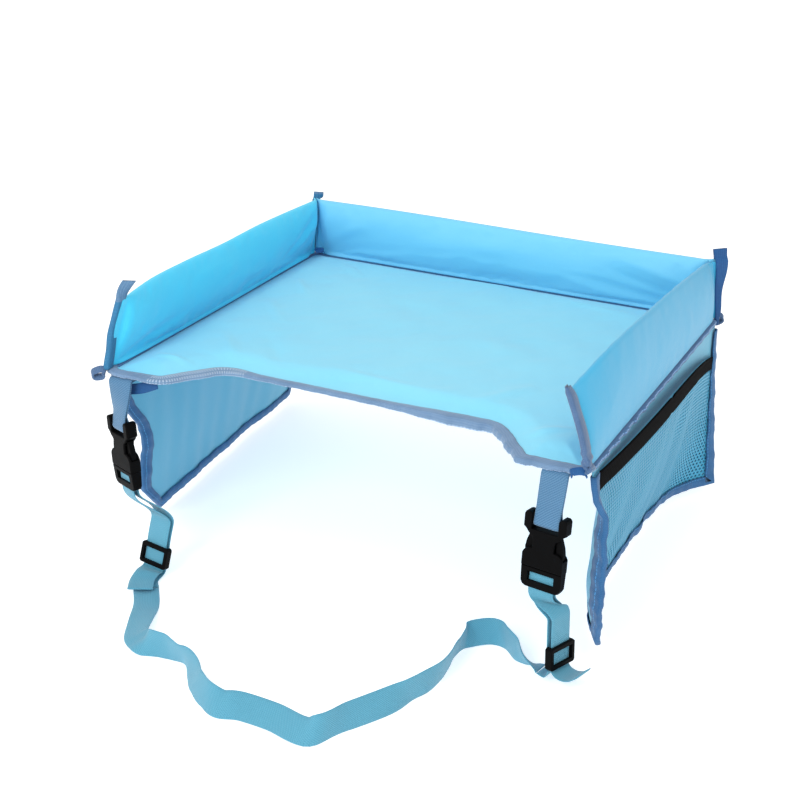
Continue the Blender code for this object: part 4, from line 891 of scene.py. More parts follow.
def tray_outline(step: float) -> tuple[Array, Array]:
    """The rim in plan as straight runs and arcs, read at even steps.

    Args:
        step: the distance between points in metres.

    Returns:
        The points, from the start of the front left arc, and the directions out of the tray.
    """
    corners = outline_corners()
    points, outs = [], []
    for i, (x, y, radius) in enumerate(corners):
        here = np.array((x, y))
        before = np.array(corners[i - 1][:2])
        after = np.array(corners[(i + 1) % len(corners)][:2])
        along, onward = unit(here - before), unit(after - here)
        left = np.array((-along[1], along[0]))
        side = math.copysign(1, along[0] * onward[1] - along[1] * onward[0])
        angle = math.acos(float(np.clip(along @ onward, -1, 1)))
        centre = here - along * radius * math.tan(angle / 2) + left * side * radius
        swing = side * np.linspace(0, angle, 13)
        arm = -left * side
        c, s = np.cos(swing), np.sin(swing)
        away = np.column_stack([c * arm[0] - s * arm[1], s * arm[0] + c * arm[1]])
        points.append(centre + away * radius)
        outs.append(away * side)
    points, outs = np.concatenate(points), np.concatenate(outs)
    points = np.concatenate([points, points[:1]])
    outs = np.concatenate([outs, outs[:1]])
    along = travelled(points)
    wanted = np.linspace(0, along[-1], int(along[-1] / step))
    read = np.column_stack([np.interp(wanted, along, points[:, k]) for k in (0, 1)])
    away = unit(np.column_stack([np.interp(wanted, along, outs[:, k]) for k in (0, 1)]))
    return read, away


def rim_distance(x: Array, y: Array) -> Array:
    """How far places lie from the rim, by the nearest of its short stretches."""
    rim, _ = tray_outline(0.003)
    nearest = np.full(x.shape, 1.0)
    for a, b in zip(rim[:-1], rim[1:]):
        run = b - a
        share = np.clip(((x - a[0]) * run[0] + (y - a[1]) * run[1]) / (run @ run), 0, 1)
        nearest = np.minimum(nearest, np.hypot(x - a[0] - run[0] * share, y - a[1] - run[1] * share))
    return nearest


@dataclass(frozen=True)
class Place:
    """A buckle's or slider's own frame: x across, y front to back, z along its strap."""

    origin: Array
    across: Array
    back: Array
    up: Array

    def at(self, x: float, y: float, z: float) -> Array:
        """A point of the frame in the tray's metres."""
        return self.origin + self.across * x + self.back * y + self.up * z


def turned_place(top: Array, up: Array, degrees: float) -> Place:
    """A frame that hangs along a line, turned about it."""
    up = unit(up)
    across = np.array((math.cos(math.radians(degrees)), math.sin(math.radians(degrees)), 0))
    back = unit(np.cross(up, across))
    return Place(top, np.cross(back, up), back, up)


# Finishes


class Finish(Enum):
    """Every finish of the part."""

    TOP = ClothFinish("sky_cloth", (0.300, 0.750, 0.900), (0.195, 0.640, 0.860))
    # The three walls are one cloth in three tones: the left wall's is lightened as painted light, the back
    # wall's whitened as a painted sheen, and the right wall's darkened as painted shade, for how the light
    # falls on each.
    LEFT_WALL_PAINTED_LIGHT = ClothFinish("left_wall_cloth_painted_light", (0.085, 0.740, 0.985), (0.040, 0.610, 0.940), creases=34.0)
    BACK_WALL_PAINTED_SHEEN = ClothFinish("back_wall_cloth_painted_sheen", (0.250, 0.690, 0.920), (0.140, 0.570, 0.850), creases=34.0)
    RIGHT_WALL_PAINTED_SHADE = ClothFinish("right_wall_cloth_painted_shade", (0.055, 0.460, 0.730), (0.030, 0.385, 0.660), creases=34.0)
    LINING = ClothFinish("lining_cloth", (0.132, 0.500, 0.690), (0.086, 0.400, 0.600), roughness=0.6)
    TAPE = TapeFinish("binding_tape", (0.022, 0.110, 0.300), (0.170, 0.350, 0.600), (0.0014, 0.0118, 0.0180))
    END_TAPE = TapeFinish("dark_ribbon", (0.003, 0.060, 0.230), (0.012, 0.170, 0.430), (), sheen=0.04)
    STRIP_TAPE = TapeFinish(
        "strip_ribbon", (0.010, 0.120, 0.300), (0.060, 0.370, 0.600), (), pale_above=0.0625, sheen=0.05
    )
    FRONT_TAPE = TapeFinish(
        "front_tape", (0.085, 0.200, 0.380), (0.340, 0.480, 0.660), (0.0014, 0.0090), ladder=(-0.158, -0.098)
    )
    GREY_TAPE = TapeFinish("grey_ribbon", (0.028, 0.095, 0.235), (0.170, 0.290, 0.480), ())
    FLAP_TAPE = TapeFinish("flap_tape", (0.009, 0.096, 0.285), (0.054, 0.264, 0.530), sheen=0.12)
    BELT = WebbingFinish("belt_webbing", (0.055, 0.300, 0.450), (0.130, 0.430, 0.570))
    TAB = WebbingFinish("tab_webbing", (0.032, 0.130, 0.275), (0.114, 0.282, 0.450), pitch=0.0021)
    ELASTIC = ElasticFinish("black_elastic", (0.0012, 0.0012, 0.0014))
    NET = NetFinish("pocket_net", (0.046, 0.405, 0.630), (0.022, 0.295, 0.495))
    PLASTIC = MouldedFinish("black_plastic", (0.0020, 0.0020, 0.0022))
    FOAM = InnerFinish("white_foam", (0.800, 0.800, 0.780), 900.0)
    BOARD = InnerFinish("stiff_board", (0.550, 0.550, 0.530), 300.0)


@cache
def material_of(finish: Finish) -> Material:
    """The material of a finish, made when it is first asked for."""
    return finish.value.made()


def placed(piece: Object, body: str, node: tuple[str, ...]) -> Object:
    """Let a piece ride on a body and stand for CAD nodes, which are hidden."""
    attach(piece, body)
    if node:
        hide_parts(*node)
    LOG.info("%s: %d faces", piece.name, len(piece.data.polygons))
    return piece


# Base


@dataclass(frozen=True)
class TapeCurl:
    """The loose end of a tape at a corner: a short strip bent round on itself.

    It is an arc of an ellipse that winds in towards its end. Right is the camera's right in plan,
    and the arc runs in degrees from there, upwards.
    """

    label: str
    middle: tuple[float, float, float]
    right: tuple[float, float]
    radii: tuple[float, float]
    arc: tuple[float, float]
    width: float
    thick: float
    finish: Finish
    wound_in: float = 0.30
    stations: int = 40

    def build(self) -> None:
        """Bend the strip and place it."""
        angle = np.radians(np.linspace(*self.arc, self.stations))
        right = np.array((*self.right, 0.0))
        depth = np.array((-right[1], right[0], 0.0))
        level = np.array((0.0, 0.0, 1.0))
        wound = 1 - self.wound_in * np.linspace(0, 1, self.stations)
        aside = self.radii[0] * wound * np.cos(angle)
        swing = self.radii[1] * wound * np.sin(angle) * (1 + 0.15 * np.sin(angle * 2.3))
        places = np.array(self.middle) + right * aside[:, None] + level * swing[:, None]
        lean = (depth + level * 0.75) + right * (0.2 * np.sin(angle * 1.3))[:, None]
        sides, offs = squared(places, lean)
        material = material_of(self.finish)
        piece = strap(f"{self.label}_tape_end", places, sides, offs, material, self.width, self.thick, 5)
        placed(piece, "tray", ())


# The camera's right in plan at the left corners and at the right ones, and the two kinds of tape
NEAR, FAR = (0.81, 0.59), (0.910, 0.414)
PALE, DARK = Finish.GREY_TAPE, Finish.END_TAPE
TAPE_CURLS = (
    TapeCurl(
        "front_left", (-0.2015, -0.1775, 0.0008), NEAR, (0.0054, 0.0040), (20, 395), 0.0062, 0.0023, PALE
    ),
    TapeCurl(
        "front_right", (0.1988, -0.1762, 0.0085), FAR, (0.0024, 0.0034), (-120, 150), 0.0050, 0.0012, PALE
    ),
    TapeCurl(
        "front_fold", (0.1930, -0.1788, 0.0030), FAR, (0.0058, 0.0024), (-30, 215), 0.0062, 0.0014, DARK
    ),
    TapeCurl(
        "back_right", (0.1982, 0.1790, 0.0020), FAR, (0.0058, 0.0042), (-200, 120), 0.0056, 0.0020, PALE
    ),
    TapeCurl(
        "back_left", (-0.1832, 0.1570, 0.0105), NEAR, (0.0042, 0.0012), (-20, 200), 0.0062, TAPE, DARK
    ),
)


@dataclass
class TrayBase:
    """The flat cloth-covered tray and the tape round its rim."""

    flange: float = 0.0088
    slope: float = 0.0050
    columns: int = 230
    rows: int = 190
    swell: float = 0.024
    crease_swell: float = 0.026
    puff: float = 0.0008
    rim_room: float = 0.0006
    pad_room: float = 0.0155
    pad_gap: float = 0.0004
    pad_foot: float = 0.0037
    pad_least: float = 0.0001
    pad_columns: int = 90
    pad_rows: int = 60
    tape_places: tuple[float, ...] = (-0.2, -0.17, -0.155, -0.115, -0.095, -0.04, 0.03, 0.08, 0.13, 0.2)
    tape_widths: tuple[float, ...] = (0.85, 0.95, 1.18, 1.22, 0.75, 0.60, 0.60, 0.95, 1.0, 1.0)
    tape_droops: tuple[float, ...] = (0.0, 0.0, 0.0, 0.0, 0.0, 0.0, 0.0012, 0.0042, 0.0022, 0.0)
    tape_waves: tuple[float, ...] = (1.5, 2.0, 1.4, 1.0, 1.0, 0.9, 1.0, 1.6, 2.4, 1.8)
    waves: Table = ((0.00022, 0.023, 1.1), (0.00012, 0.0081, 0.0))
    wave_fade: float = 0.008
    under_reach: float = 0.0002
    nose_room: float = 0.0002
    fold: Table = (
        (-0.1790, -0.1690, -0.0112),
        (-0.1660, -0.1700, -0.0072),
        (-0.1520, -0.1712, -0.0004),
    )
    fold_width: float = 0.0085
    creases: tuple[Crease, ...] = (
        Crease((-0.176, -0.138), (-0.105, -0.142), 0.0032, 0.0027),
        Crease((-0.150, -0.118), (-0.060, -0.128), 0.0060, -0.0015),
        Crease((-0.152, -0.070), (-0.105, -0.128), 0.0050, 0.0019),
        Crease((-0.120, -0.055), (-0.070, -0.118), 0.0065, -0.0015),
        Crease((-0.160, 0.020), (-0.120, -0.030), 0.0050, 0.0015),
        Crease((-0.165, 0.080), (-0.132, 0.040), 0.0045, 0.0017),
        Crease((-0.150, 0.140), (-0.115, 0.110), 0.0045, 0.0015),
        Crease((-0.040, -0.100), (0.050, -0.108), 0.0050, 0.0014),
        Crease((0.080, -0.120), (0.120, -0.060), 0.0060, 0.0015),
        Crease((0.130, -0.150), (0.172, -0.120), 0.0045, 0.0020),
        Crease((0.150, -0.060), (0.172, 0.010), 0.0050, 0.0017),
        Crease((0.060, 0.140), (0.140, 0.128), 0.0060, 0.0012),
        Crease((-0.060, 0.145), (0.020, 0.150), 0.0050, 0.0012),
        Crease((0.020, 0.020), (0.110, -0.010), 0.0120, 0.0012),
        Crease((-0.080, 0.070), (0.000, 0.040), 0.0130, -0.0012),
    )

    def edges_at(self, x: Array, room: float) -> tuple[Array, Array]:
        """The front and back y of the rim drawn in by a room, at each x.

        Every rim point sweeps a circle of the room's radius; the highest of them bound the front
        and the lowest of them bound the back.
        """
        rim, _ = tray_outline(0.0004)
        sides = np.abs(rim[:, 0]) > HALF_WIDTH - 1e-4
        turn = HALF_DEPTH - CORNER_RADIUS
        rim = rim[~sides | (np.abs(rim[:, 1]) > turn - 1e-4)]
        away = np.abs(x[:, None] - rim[None, :, 0])
        reach = np.sqrt(np.maximum(room * room - away * away, 0))
        near = np.where((away <= room) & (rim[:, 1] < 0), rim[None, :, 1] + reach, -1.0).max(axis=1)
        far = np.where((away <= room) & (rim[:, 1] > 0), rim[None, :, 1] - reach, 1.0).min(axis=1)
        return near, far

    def plan(self, room: float, columns: int, rows: int) -> tuple[Array, Array]:
        """A grid in plan that fills the rim, drawn in by a room."""
        share = np.sin(np.linspace(-math.pi / 2, math.pi / 2, columns))
        x = (HALF_WIDTH - room) * share
        near, far = self.edges_at(x, room)
        down = smooth(np.linspace(0, 1, rows)) * 0.35 + np.linspace(0, 1, rows) * 0.65
        y = near[None, :] * (1 - down)[:, None] + far[None, :] * down[:, None]
        return np.broadcast_to(x[None, :], y.shape).copy(), y

    def rise(self, inside: Array) -> Array:
        """The share of the cushion's height that the cloth has reached, so far in from the rim."""
        return smooth((inside - self.flange * 0.6) / self.swell)

    def soft(self, inside: Array) -> Array:
        """How freely the cloth creases, so far in from the rim: not at all where it is sewn down."""
        return smooth((inside - self.flange) / self.crease_swell)

    def build(self) -> None:
        """Make the two covers, the pad and the tapes."""
        x, y = self.plan(self.rim_room, self.columns, self.rows)
        inside = rim_distance(x, y)
        rise, soft = self.rise(inside), self.soft(inside)
        uneven = ripple(x, y, 5, 0.075) * 0.00045 + ripple(x, y, 6, 0.028) * 0.00016
        pucker = ripple(x, y, 7, 0.009, 9) * 0.00035 * rise * (1 - smooth((inside - 0.014) / 0.016))
        height = FLANGE_TOP + (COVER_TOP - FLANGE_TOP) * rise
        height = height + soft * (self.puff + uneven + lifted_by(self.creases, x, y)) + pucker
        upper = np.stack([x, y, height], axis=-1)
        lower = upper - np.array((0, 0, CLOTH))
        self.cover("top", upper, lower, Finish.TOP)
        self.build_pad()
        drop = smooth((self.flange + self.slope - inside) / self.slope) * RIM_RISE
        sag = ripple(x, y, 9, 0.060) * 0.00015 * soft
        low = np.stack([x, y, drop + np.abs(sag)], axis=-1)
        top = low + np.array((0, 0, CLOTH * 0.9))
        self.cover("bottom", top, low, Finish.LINING)
        self.build_tapes()

    def cover(self, label: str, upper: Array, lower: Array, finish: Finish) -> None:
        """One cloth cover between two grids of points.

        Args:
            label: top or bottom.
            upper: the cloth's upper side.
            lower: its lower side.
            finish: its material.
        """
        cloth = thin_sheet(f"tray_{label}_cloth", upper, lower, upper[..., :2], material_of(finish))
        placed(cloth, "tray", (f"base_{label}_cover",))

    def build_pad(self) -> None:
        """The foam under the cloth, thinned towards its edges as the cloth pulls it down."""
        x, y = self.plan(self.pad_room, self.pad_columns, self.pad_rows)
        inside = rim_distance(x, y)
        height = FLANGE_TOP + (COVER_TOP - FLANGE_TOP) * self.rise(inside) - CLOTH - GAP
        dips = lifted_by(self.creases, x, y) * self.soft(inside)
        height = height + np.minimum(dips, 0) - self.pad_gap
        low = np.full(x.shape, self.pad_foot)
        upper = np.stack([x, y, np.maximum(height, low + self.pad_least)], axis=-1)
        lower = np.stack([x, y, low], axis=-1)
        pad = thin_sheet("tray_foam", upper, lower, lower[..., :2], material_of(Finish.FOAM))
        placed(pad, "tray", ("base_foam_pad",))

    def build_tapes(self) -> None:
        """Four runs of tape folded round the rim, waved a little as sewn tape is."""
        rim, out = tray_outline(0.0016)
        turn = HALF_DEPTH - CORNER_RADIUS
        right = (rim[:, 0] > HALF_WIDTH - 1e-5) & (np.abs(rim[:, 1]) < turn)
        left = (rim[:, 0] < -HALF_WIDTH + 1e-5) & (np.abs(rim[:, 1]) < turn)
        numbers = np.arange(len(rim))
        first_right, last_right = numbers[right][0], numbers[right][-1]
        first_left = numbers[left][0]
        runs = {
            "front_edge_binding": numbers[: first_right + 1],
            "right_edge_binding": numbers[first_right : last_right + 2],
            "back_edge_binding": numbers[last_right + 1 : first_left + 1],
            "left_edge_binding": numbers[first_left:],
        }
        for node, rows in runs.items():
            self.build_tape(node, rim[rows], out[rows])
        for curl in TAPE_CURLS:
            curl.build()
        self.build_fold()

    def build_fold(self) -> None:
        """The tape end that lies folded under the front left corner, along a curve through three places; its
        dark ribbon finish is painted shade, for the shade that falls on the fold.
        """
        stations = 24
        places = curve_at(np.arange(3.0), np.array(self.fold), np.linspace(0, 2, stations))
        sides, offs = squared(places, np.tile((0.0, 0.25, 1.0), (stations, 1)))
        # The dark ribbon finish here is painted shade on the fold.
        finish = material_of(Finish.END_TAPE)
        piece = strap("left_fold_tape_end", places, sides, offs, finish, self.fold_width, TAPE, 5)
        placed(piece, "tray", ())

    def build_tape(self, node: str, rim: Array, out: Array) -> None:
        """One run of tape: a C round the flanges, with a rounded nose."""
        along = travelled(rim)
        wave = sewn_wave(along, self.waves, self.wave_fade)
        wide, droop = np.ones(len(rim)), np.zeros(len(rim))
        if node.startswith("front"):
            wide = curve_at(self.tape_places, self.tape_widths, rim[:, 0])
            wave = wave * curve_at(self.tape_places, self.tape_waves, rim[:, 0])
            droop = np.maximum(curve_at(self.tape_places, self.tape_droops, rim[:, 0]), 0)
        if node.startswith("right"):
            wave = np.maximum(wave * (1 + 2.4 * bell(rim[:, 1], -0.095, 0.055)), -0.0002)
        nose = GAP + TAPE + self.nose_room + wave
        mid = (LIP_TOP + LIP_BOTTOM) / 2
        half = (LIP_TOP - LIP_BOTTOM) / 2
        swing = np.linspace(-math.pi / 2, math.pi / 2, 9)
        under = TAPE_WIDTH + self.under_reach
        profile = [(-under, -1.0, 0.0), (-TAPE_WIDTH * 0.5, -1.0, 0.0)]
        profile += [(-half * 0.8 + half * 0.8 * math.cos(a), math.sin(a), 1.0) for a in swing]
        profile += [(-TAPE_WIDTH * 0.35, 1.02, 0.0), (-TAPE_WIDTH * 0.7, 1.05, 0.0), (-TAPE_WIDTH, 0.98, 0.0)]
        inner = half - TAPE
        profile += [(-TAPE_WIDTH, inner / half, 0.0), (-TAPE * 0.9, inner / half, 0.0)]
        profile += [(-TAPE * 0.9, -inner / half, 0.0), (-under, -inner / half, 0.0)]
        rings = []
        for reach, level, moved in profile:
            leg = level > 0 and reach < -TAPE_WIDTH * 0.3
            across = reach * (wide if leg else 1) + nose * moved + wave * 0.6
            place = rim + out * across[:, None]
            rings.append(np.column_stack([place, mid + half * level - droop * (1 - min(level, 1)) / 2]))
        rings = np.stack(rings, axis=1)
        spread = laid_out(rings)
        finish = Finish.FRONT_TAPE if node.startswith("front") else Finish.TAPE
        piece = swept(f"{node}_tape", rings, spread, material_of(finish))
        placed(piece, "tray", (node,))


# Walls

WALL_BULGE = 0.010
WALL_SEAM_HALF = 0.0015
WALL_SETBACK = 0.0028
WALL_CORNER_SETBACK = 0.0062
WALL_FIN = 0.0066
WALL_END_SEAM = 0.0085
WALL_END_ROUND = 0.038
WALL_FRONT_SETBACK = 0.002
WALL_CORNER_EASE = 0.009
WALL_LEAN = 0.0080
WALL_END_LEAN = 0.0165
CORNER_LEAN = 0.0050
CORNER_BULGE_SHARE = 0.43
OUTER_BULGE_SHARE = 0.45


def corner_rows(
    straight: float, start: float, side: int, radius: float, top: float, across: bool
) -> list[list[float]]:
    """Stations round a back corner: an eighth of a circle, then the sewn fin.

    Args:
        straight: the x or y of the wall's straight part.
        start: where the arc starts along the wall.
        side: -1 on the left, 1 on the right.
        radius: the arc's radius.
        top: the wall's height there.
        across: whether the wall runs across the tray.

    Returns:
        Rows of x, y, inward x and y, lean, top, bulge, half thickness outside and half inside.
    """
    full, half = CORNER_BULGE_SHARE, WALL_SEAM_HALF
    table = ((0.33, full, half, 0), (0.62, full, half, 0), (0.80, full * 0.75, half, 0))
    table += ((1, 0, half, 1.5 * CLOTH + GAP), (1, 0, WALL_FIN, 1.4 * CLOTH + GAP), (1, 0, WALL_FIN, GAP))
    rows = []
    for share, full, half_out, short in table:
        angle = share * math.pi / 4
        lean = WALL_LEAN + (CORNER_LEAN - WALL_LEAN) * share
        sine, cosine = math.sin(angle), math.cos(angle)
        if across:
            base = np.array((side * (start + radius * sine), straight - radius * (1 - cosine)))
            inward = np.array((-side * sine, -cosine))
            onward = np.array((side * cosine, -sine))
        else:
            base = np.array((straight - side * radius * (1 - cosine), start + radius * sine))
            inward = np.array((-side * cosine, -sine))
            onward = np.array((-side * sine, cosine))
        rows.append([*(base - onward * short), *inward, lean, top, WALL_BULGE * full, half_out, half])
    return rows


@dataclass
class PaddedWall:
    """One soft wall: a cloth sleeve over foam, sewn down along its foot and closed at its ends."""

    label: str
    side: int
    tops: tuple[float, ...]
    finish: Finish
    seed: int
    creases: tuple[Crease, ...]
    levels: int = 26
    step: float = 0.0042
    pressure: float = 4.0
    foot_reach: float = 0.0062
    foot_band: float = 0.0012
    ridge_room: float = 0.0012
    cap: float = 0.0032

    def stations(self) -> Array:
        """The frame's stations of this wall, one row each."""
        radius = (WALL_CORNER_SETBACK - WALL_SETBACK) / (1 - math.cos(math.pi / 4))
        half = WALL_SEAM_HALF
        if self.side:
            straight = self.side * (HALF_WIDTH - WALL_SETBACK)
            start = -HALF_DEPTH + WALL_FRONT_SETBACK
            turn = HALF_DEPTH - WALL_CORNER_SETBACK - radius * math.sin(math.pi / 4)
            length = turn - start
            seam, soft = WALL_END_SEAM / length, WALL_END_ROUND / length
            shares = [0, seam, seam + 0.06 * soft, seam + 0.2 * soft, seam + 0.5 * soft, seam + soft]
            shares += [0.32, 0.5, 0.68, 0.85, 1 - WALL_CORNER_EASE / length, 1]
            fulls = [0, 0, 0.42, 0.72, 0.9, 0.98, 1, 1, 1, 1, 1, CORNER_BULGE_SHARE]
            rows = []
            for share, full in zip(shares, fulls):
                eased = max(0, 1 - max(0, share - seam) / (2.5 * soft)) ** 2
                lean = WALL_LEAN + (WALL_END_LEAN - WALL_LEAN) * eased
                along = max(0, share - seam) / (1 - seam)
                top = float(curve_at((0, 0.17, 0.43, 0.69, 1), self.tops, along))
                y = start + length * share
                rows.append([straight, y, -self.side, 0, lean, top, WALL_BULGE * full, half, half])
            return np.array(rows + corner_rows(straight, turn, self.side, radius, self.tops[-1], False))
        straight = HALF_DEPTH - WALL_SETBACK
        turn = HALF_WIDTH - WALL_CORNER_SETBACK - radius * math.sin(math.pi / 4)
        left = corner_rows(straight, turn, -1, radius, self.tops[0], True)[::-1]
        right = corner_rows(straight, turn, 1, radius, self.tops[-1], True)
        middle = []
        ease = WALL_CORNER_EASE / (2 * turn)
        for share in (0, ease, 0.15, 0.32, 0.5, 0.68, 0.85, 1 - ease, 1):
            full = CORNER_BULGE_SHARE if share in (0, 1) else 1
            top = float(curve_at((0, 0.22, 0.45, 0.75, 1), self.tops, share))
            x = -turn + 2 * turn * share
            middle.append([x, straight, 0, -1, WALL_LEAN, top, WALL_BULGE * full, half, half])
        return np.array(left + middle + right)

    def finer(self) -> Array:
        """The stations read at short steps, keeping each of the frame's own."""
        rows = self.stations()
        along = travelled(rows[:, :2]) + np.arange(len(rows)) * 1e-7
        wanted = [along]
        for a, b in zip(along[:-1], along[1:]):
            count = int((b - a) / self.step)
            if count:
                wanted.append(np.linspace(a, b, count + 2)[1:-1])
        wanted = np.sort(np.concatenate(wanted))
        read = np.column_stack([np.interp(wanted, along, rows[:, k]) for k in range(rows.shape[1])])
        read[:, 2:4] = unit(read[:, 2:4])
        for column in (4, 5):
            read[:, column] = curve_at(along, rows[:, column], wanted)
        return np.column_stack([read, wanted])

    def build(self) -> Object:
        """Loft the sections, blow them up between the seams, and smooth them."""
        rows = self.finer()
        x, y, in_x, in_y, lean, top, bulge, half_out, half_in, along = (rows[:, k : k + 1] for k in range(10))
        level = np.linspace(0, 1, self.levels)
        level = (level * 0.7 + smooth(level) * 0.3)[None, :]
        height = WALL_FOOT + (top - self.ridge_room - WALL_FOOT) * level
        full = np.where((level > 0) & (level < 1), np.abs(np.sin(math.pi * level**1.4)) ** 0.7, 0)
        shift = lean * level**1.25
        dimple = 1 + 0.10 * ripple(along, level * 0.05, self.seed, 0.030) * (1 - level) ** 1.5
        dimple = dimple + 0.05 * ripple(along, level * 0.05, self.seed + 1, 0.080)
        swell = bulge * full * 0.88 * dimple
        skirt = (self.foot_reach - half_in) * bell(level, 0, 0.055) * (bulge / WALL_BULGE)
        foot_pucker = ripple(along, level * 0.03, self.seed + 2, 0.013) * 0.0006 * bell(level, 0.09, 0.09)
        top_pucker = ripple(along, level * 0.03, self.seed + 3, 0.017) * 0.0005 * bell(level, 0.93, 0.07)
        fold = lifted_by(self.creases, along, height) + (foot_pucker + top_pucker)
        fold = fold * np.where((level > 0) & (level < 1), 1, 0) * np.minimum(1, bulge / (0.5 * WALL_BULGE))
        inner = shift + half_in + np.maximum(swell + fold, skirt)
        outer = shift - half_out - np.maximum((swell + fold) * OUTER_BULGE_SHARE, 0)
        near = np.stack([x + in_x * inner, y + in_y * inner, height], axis=-1)
        far = np.stack([x + in_x * outer, y + in_y * outer, height], axis=-1)
        rings = np.concatenate([near, far[:, ::-1]], axis=1)
        spread = laid_out(rings)
        piece = swept(f"{self.label}_padded_wall", rings, spread, material_of(self.finish))
        self.swell(piece, rings)
        subdivided(piece)
        nodes = (f"{self.label}_wall_cover", f"{self.label}_wall_foam")
        return placed(piece, "tray", nodes)

    def swell(self, piece: Object, rings: Array) -> None:
        """Hold the foot, the ridge seam and the sewn ends, and blow up the rest."""
        places = points_of(piece.data)
        foot = places[:, 2] < WALL_FOOT + self.foot_band
        ends = np.concatenate([rings[: 3 if self.side else 12], rings[-12:]])
        ridge = rings[:, self.levels - 1 : self.levels + 1]
        sewn = {tuple(place) for part in (ends, ridge) for place in np.round(part.reshape(-1, 3), 5)}
        seams = np.array([tuple(place) in sewn for place in np.round(places, 5)])
        inflated(piece, foot | seams, self.pressure, self.cap)


@dataclass
class EndRibbons:
    """The ribbons folded round the walls' ends: two at the front and two at the back corners."""

    left_top: float = 0.0670
    right_top: float = 0.0610
    back_tops: tuple[float, float] = (0.0575, 0.0580)
    leg: float = 0.0062
    left_tail: float = 0.0150
    right_tail: float = 0.0020
    back_tails: tuple[float, float] = (0.0075, 0.0100)
    foot_share: float = 0.11
    foot_leg: float = 0.0012
    rows: int = 90

    def folded(
        self, node: str, line: Array, legs: Array, nose: Array, reach: Array, room: Array, finish: Finish
    ) -> None:
        """A tape folded in two along a line: at each station a narrow U, closed at its nose.

        Args:
            node: the CAD node that it stands for.
            line: the seam's line, one point to a station.
            legs: the direction of the U's legs in plan at each station.
            nose: how far the fold lies off the line, against the legs.
            reach: how far the legs run past the line.
            room: half the space between the legs.
            finish: its material.
        """
        across = np.column_stack([-legs[:, 1], legs[:, 0]])
        wide = room + TAPE
        swing = np.linspace(math.pi, 0, 9)
        profile = [(-wide, reach), (-wide, reach * 0.5)]
        profile += [(wide * math.cos(a), -nose - wide * 0.7 * math.sin(a)) for a in swing]
        profile += [(wide, reach * 0.5), (wide, reach)]
        profile += [(room, reach), (room, -nose), (-room, -nose), (-room, reach)]
        rings = []
        for a, b in profile:
            place = line[:, :2] + across * a[:, None] + legs * b[:, None]
            rings.append(np.column_stack([place, line[:, 2]]))
        rings = np.stack(rings, axis=1)
        piece = swept(f"{node}_ribbon", rings, laid_out(rings), material_of(finish))
        placed(piece, "tray", (node,))

    def line(
        self, base: Array, inward: Array, lean: float, top: float, tail: float, foot: float = 0.0
    ) -> tuple[Array, Array]:
        """The leaning line of a wall's end, which runs on past its top.

        Args:
            base: where the end stands, in plan.
            inward: the direction in plan in which it leans.
            lean: how far its top leans.
            top: the wall's height.
            tail: how far the line runs past the top.
            foot: the share of the wall that it reaches below the foot.

        Returns:
            The line's points, and the share of the wall's height at each.
        """
        shares = np.linspace(-foot, 1 + tail / top, self.rows)
        height = WALL_FOOT + (top - WALL_FOOT) * shares
        place = base[None, :] + inward[None, :] * (lean * np.maximum(shares, 0) ** 1.25)[:, None]
        return np.column_stack([place, height]), shares

    def turned(self, start: Array, end: Array, share: Array) -> Array:
        """Unit plan directions that swing from one to another."""
        return unit(start[None, :] * (1 - share)[:, None] + end[None, :] * share[:, None])

    def build(self) -> None:
        """Make all four."""
        self.build_front_left()
        self.build_front_right()
        for label, side in (("left", -1), ("right", 1)):
            self.build_back(label, side)

    def front_base(self, side: int) -> Array:
        """Where a side wall's front end stands."""
        return np.array((side * (HALF_WIDTH - WALL_SETBACK), -HALF_DEPTH + WALL_FRONT_SETBACK))

    def build_front_left(self) -> None:
        """Narrow up the wall's end, then a loose flag that turns flat to the front and leans in."""
        base, inward = self.front_base(-1), np.array((1.0, 0.0))
        line, shares = self.line(base, inward, WALL_END_LEAN, self.left_top, self.left_tail)
        loose = smooth((shares - 0.86) / 0.36)
        line[:, 0] += 0.0060 * smooth((shares - 1.0) / 0.3) - 0.0008 * smooth(shares / 0.8)
        line[:, 0] += np.sin(shares * 9.0) * 0.0004
        line[:, 1] -= loose * 0.0012
        legs = self.turned(np.array((0.0, 1.0)), np.array((0.93, 0.40)), loose)
        nose = 0.0005 + loose * 0.0030 + np.sin(shares * 17.0) * 0.0003
        reach = self.leg - 0.0008 + loose * 0.0006
        room = (WALL_SEAM_HALF + GAP) * (1 - loose) + 0.0002 * loose
        self.folded("front_left_end_binding", line, legs, nose, reach, room, Finish.STRIP_TAPE)

    def build_front_right(self) -> None:
        """A narrow ribbon that waves down the wall's end and bunches at its foot."""
        base, inward = self.front_base(1), np.array((-1.0, 0.0))
        line, shares = self.line(base, inward, WALL_END_LEAN, self.right_top, self.right_tail)
        low = smooth(1 - shares / 0.34)
        line[:, 0] += np.sin(shares * 4.2) * 0.0007 + low * np.sin(shares * 52.0) * 0.0009
        line[:, 1] += low * np.cos(shares * 44.0) * 0.0007
        legs = self.turned(np.array((0.0, 1.0)), np.array((0.5, 0.87)), low * 0.3)
        nose = 0.0006 + low * 0.0008 * (1 + np.sin(shares * 60.0)) + 0.0006 * smooth((shares - 0.9) / 0.1)
        reach = self.leg - 0.0004 * np.sin(shares * 11.0) - 0.0030 * smooth((shares - 0.86) / 0.18)
        room = (WALL_SEAM_HALF + GAP) * (1 - 0.6 * smooth((shares - 0.94) / 0.08))
        self.folded("front_right_end_binding", line, legs, nose, reach, room, Finish.GREY_TAPE)

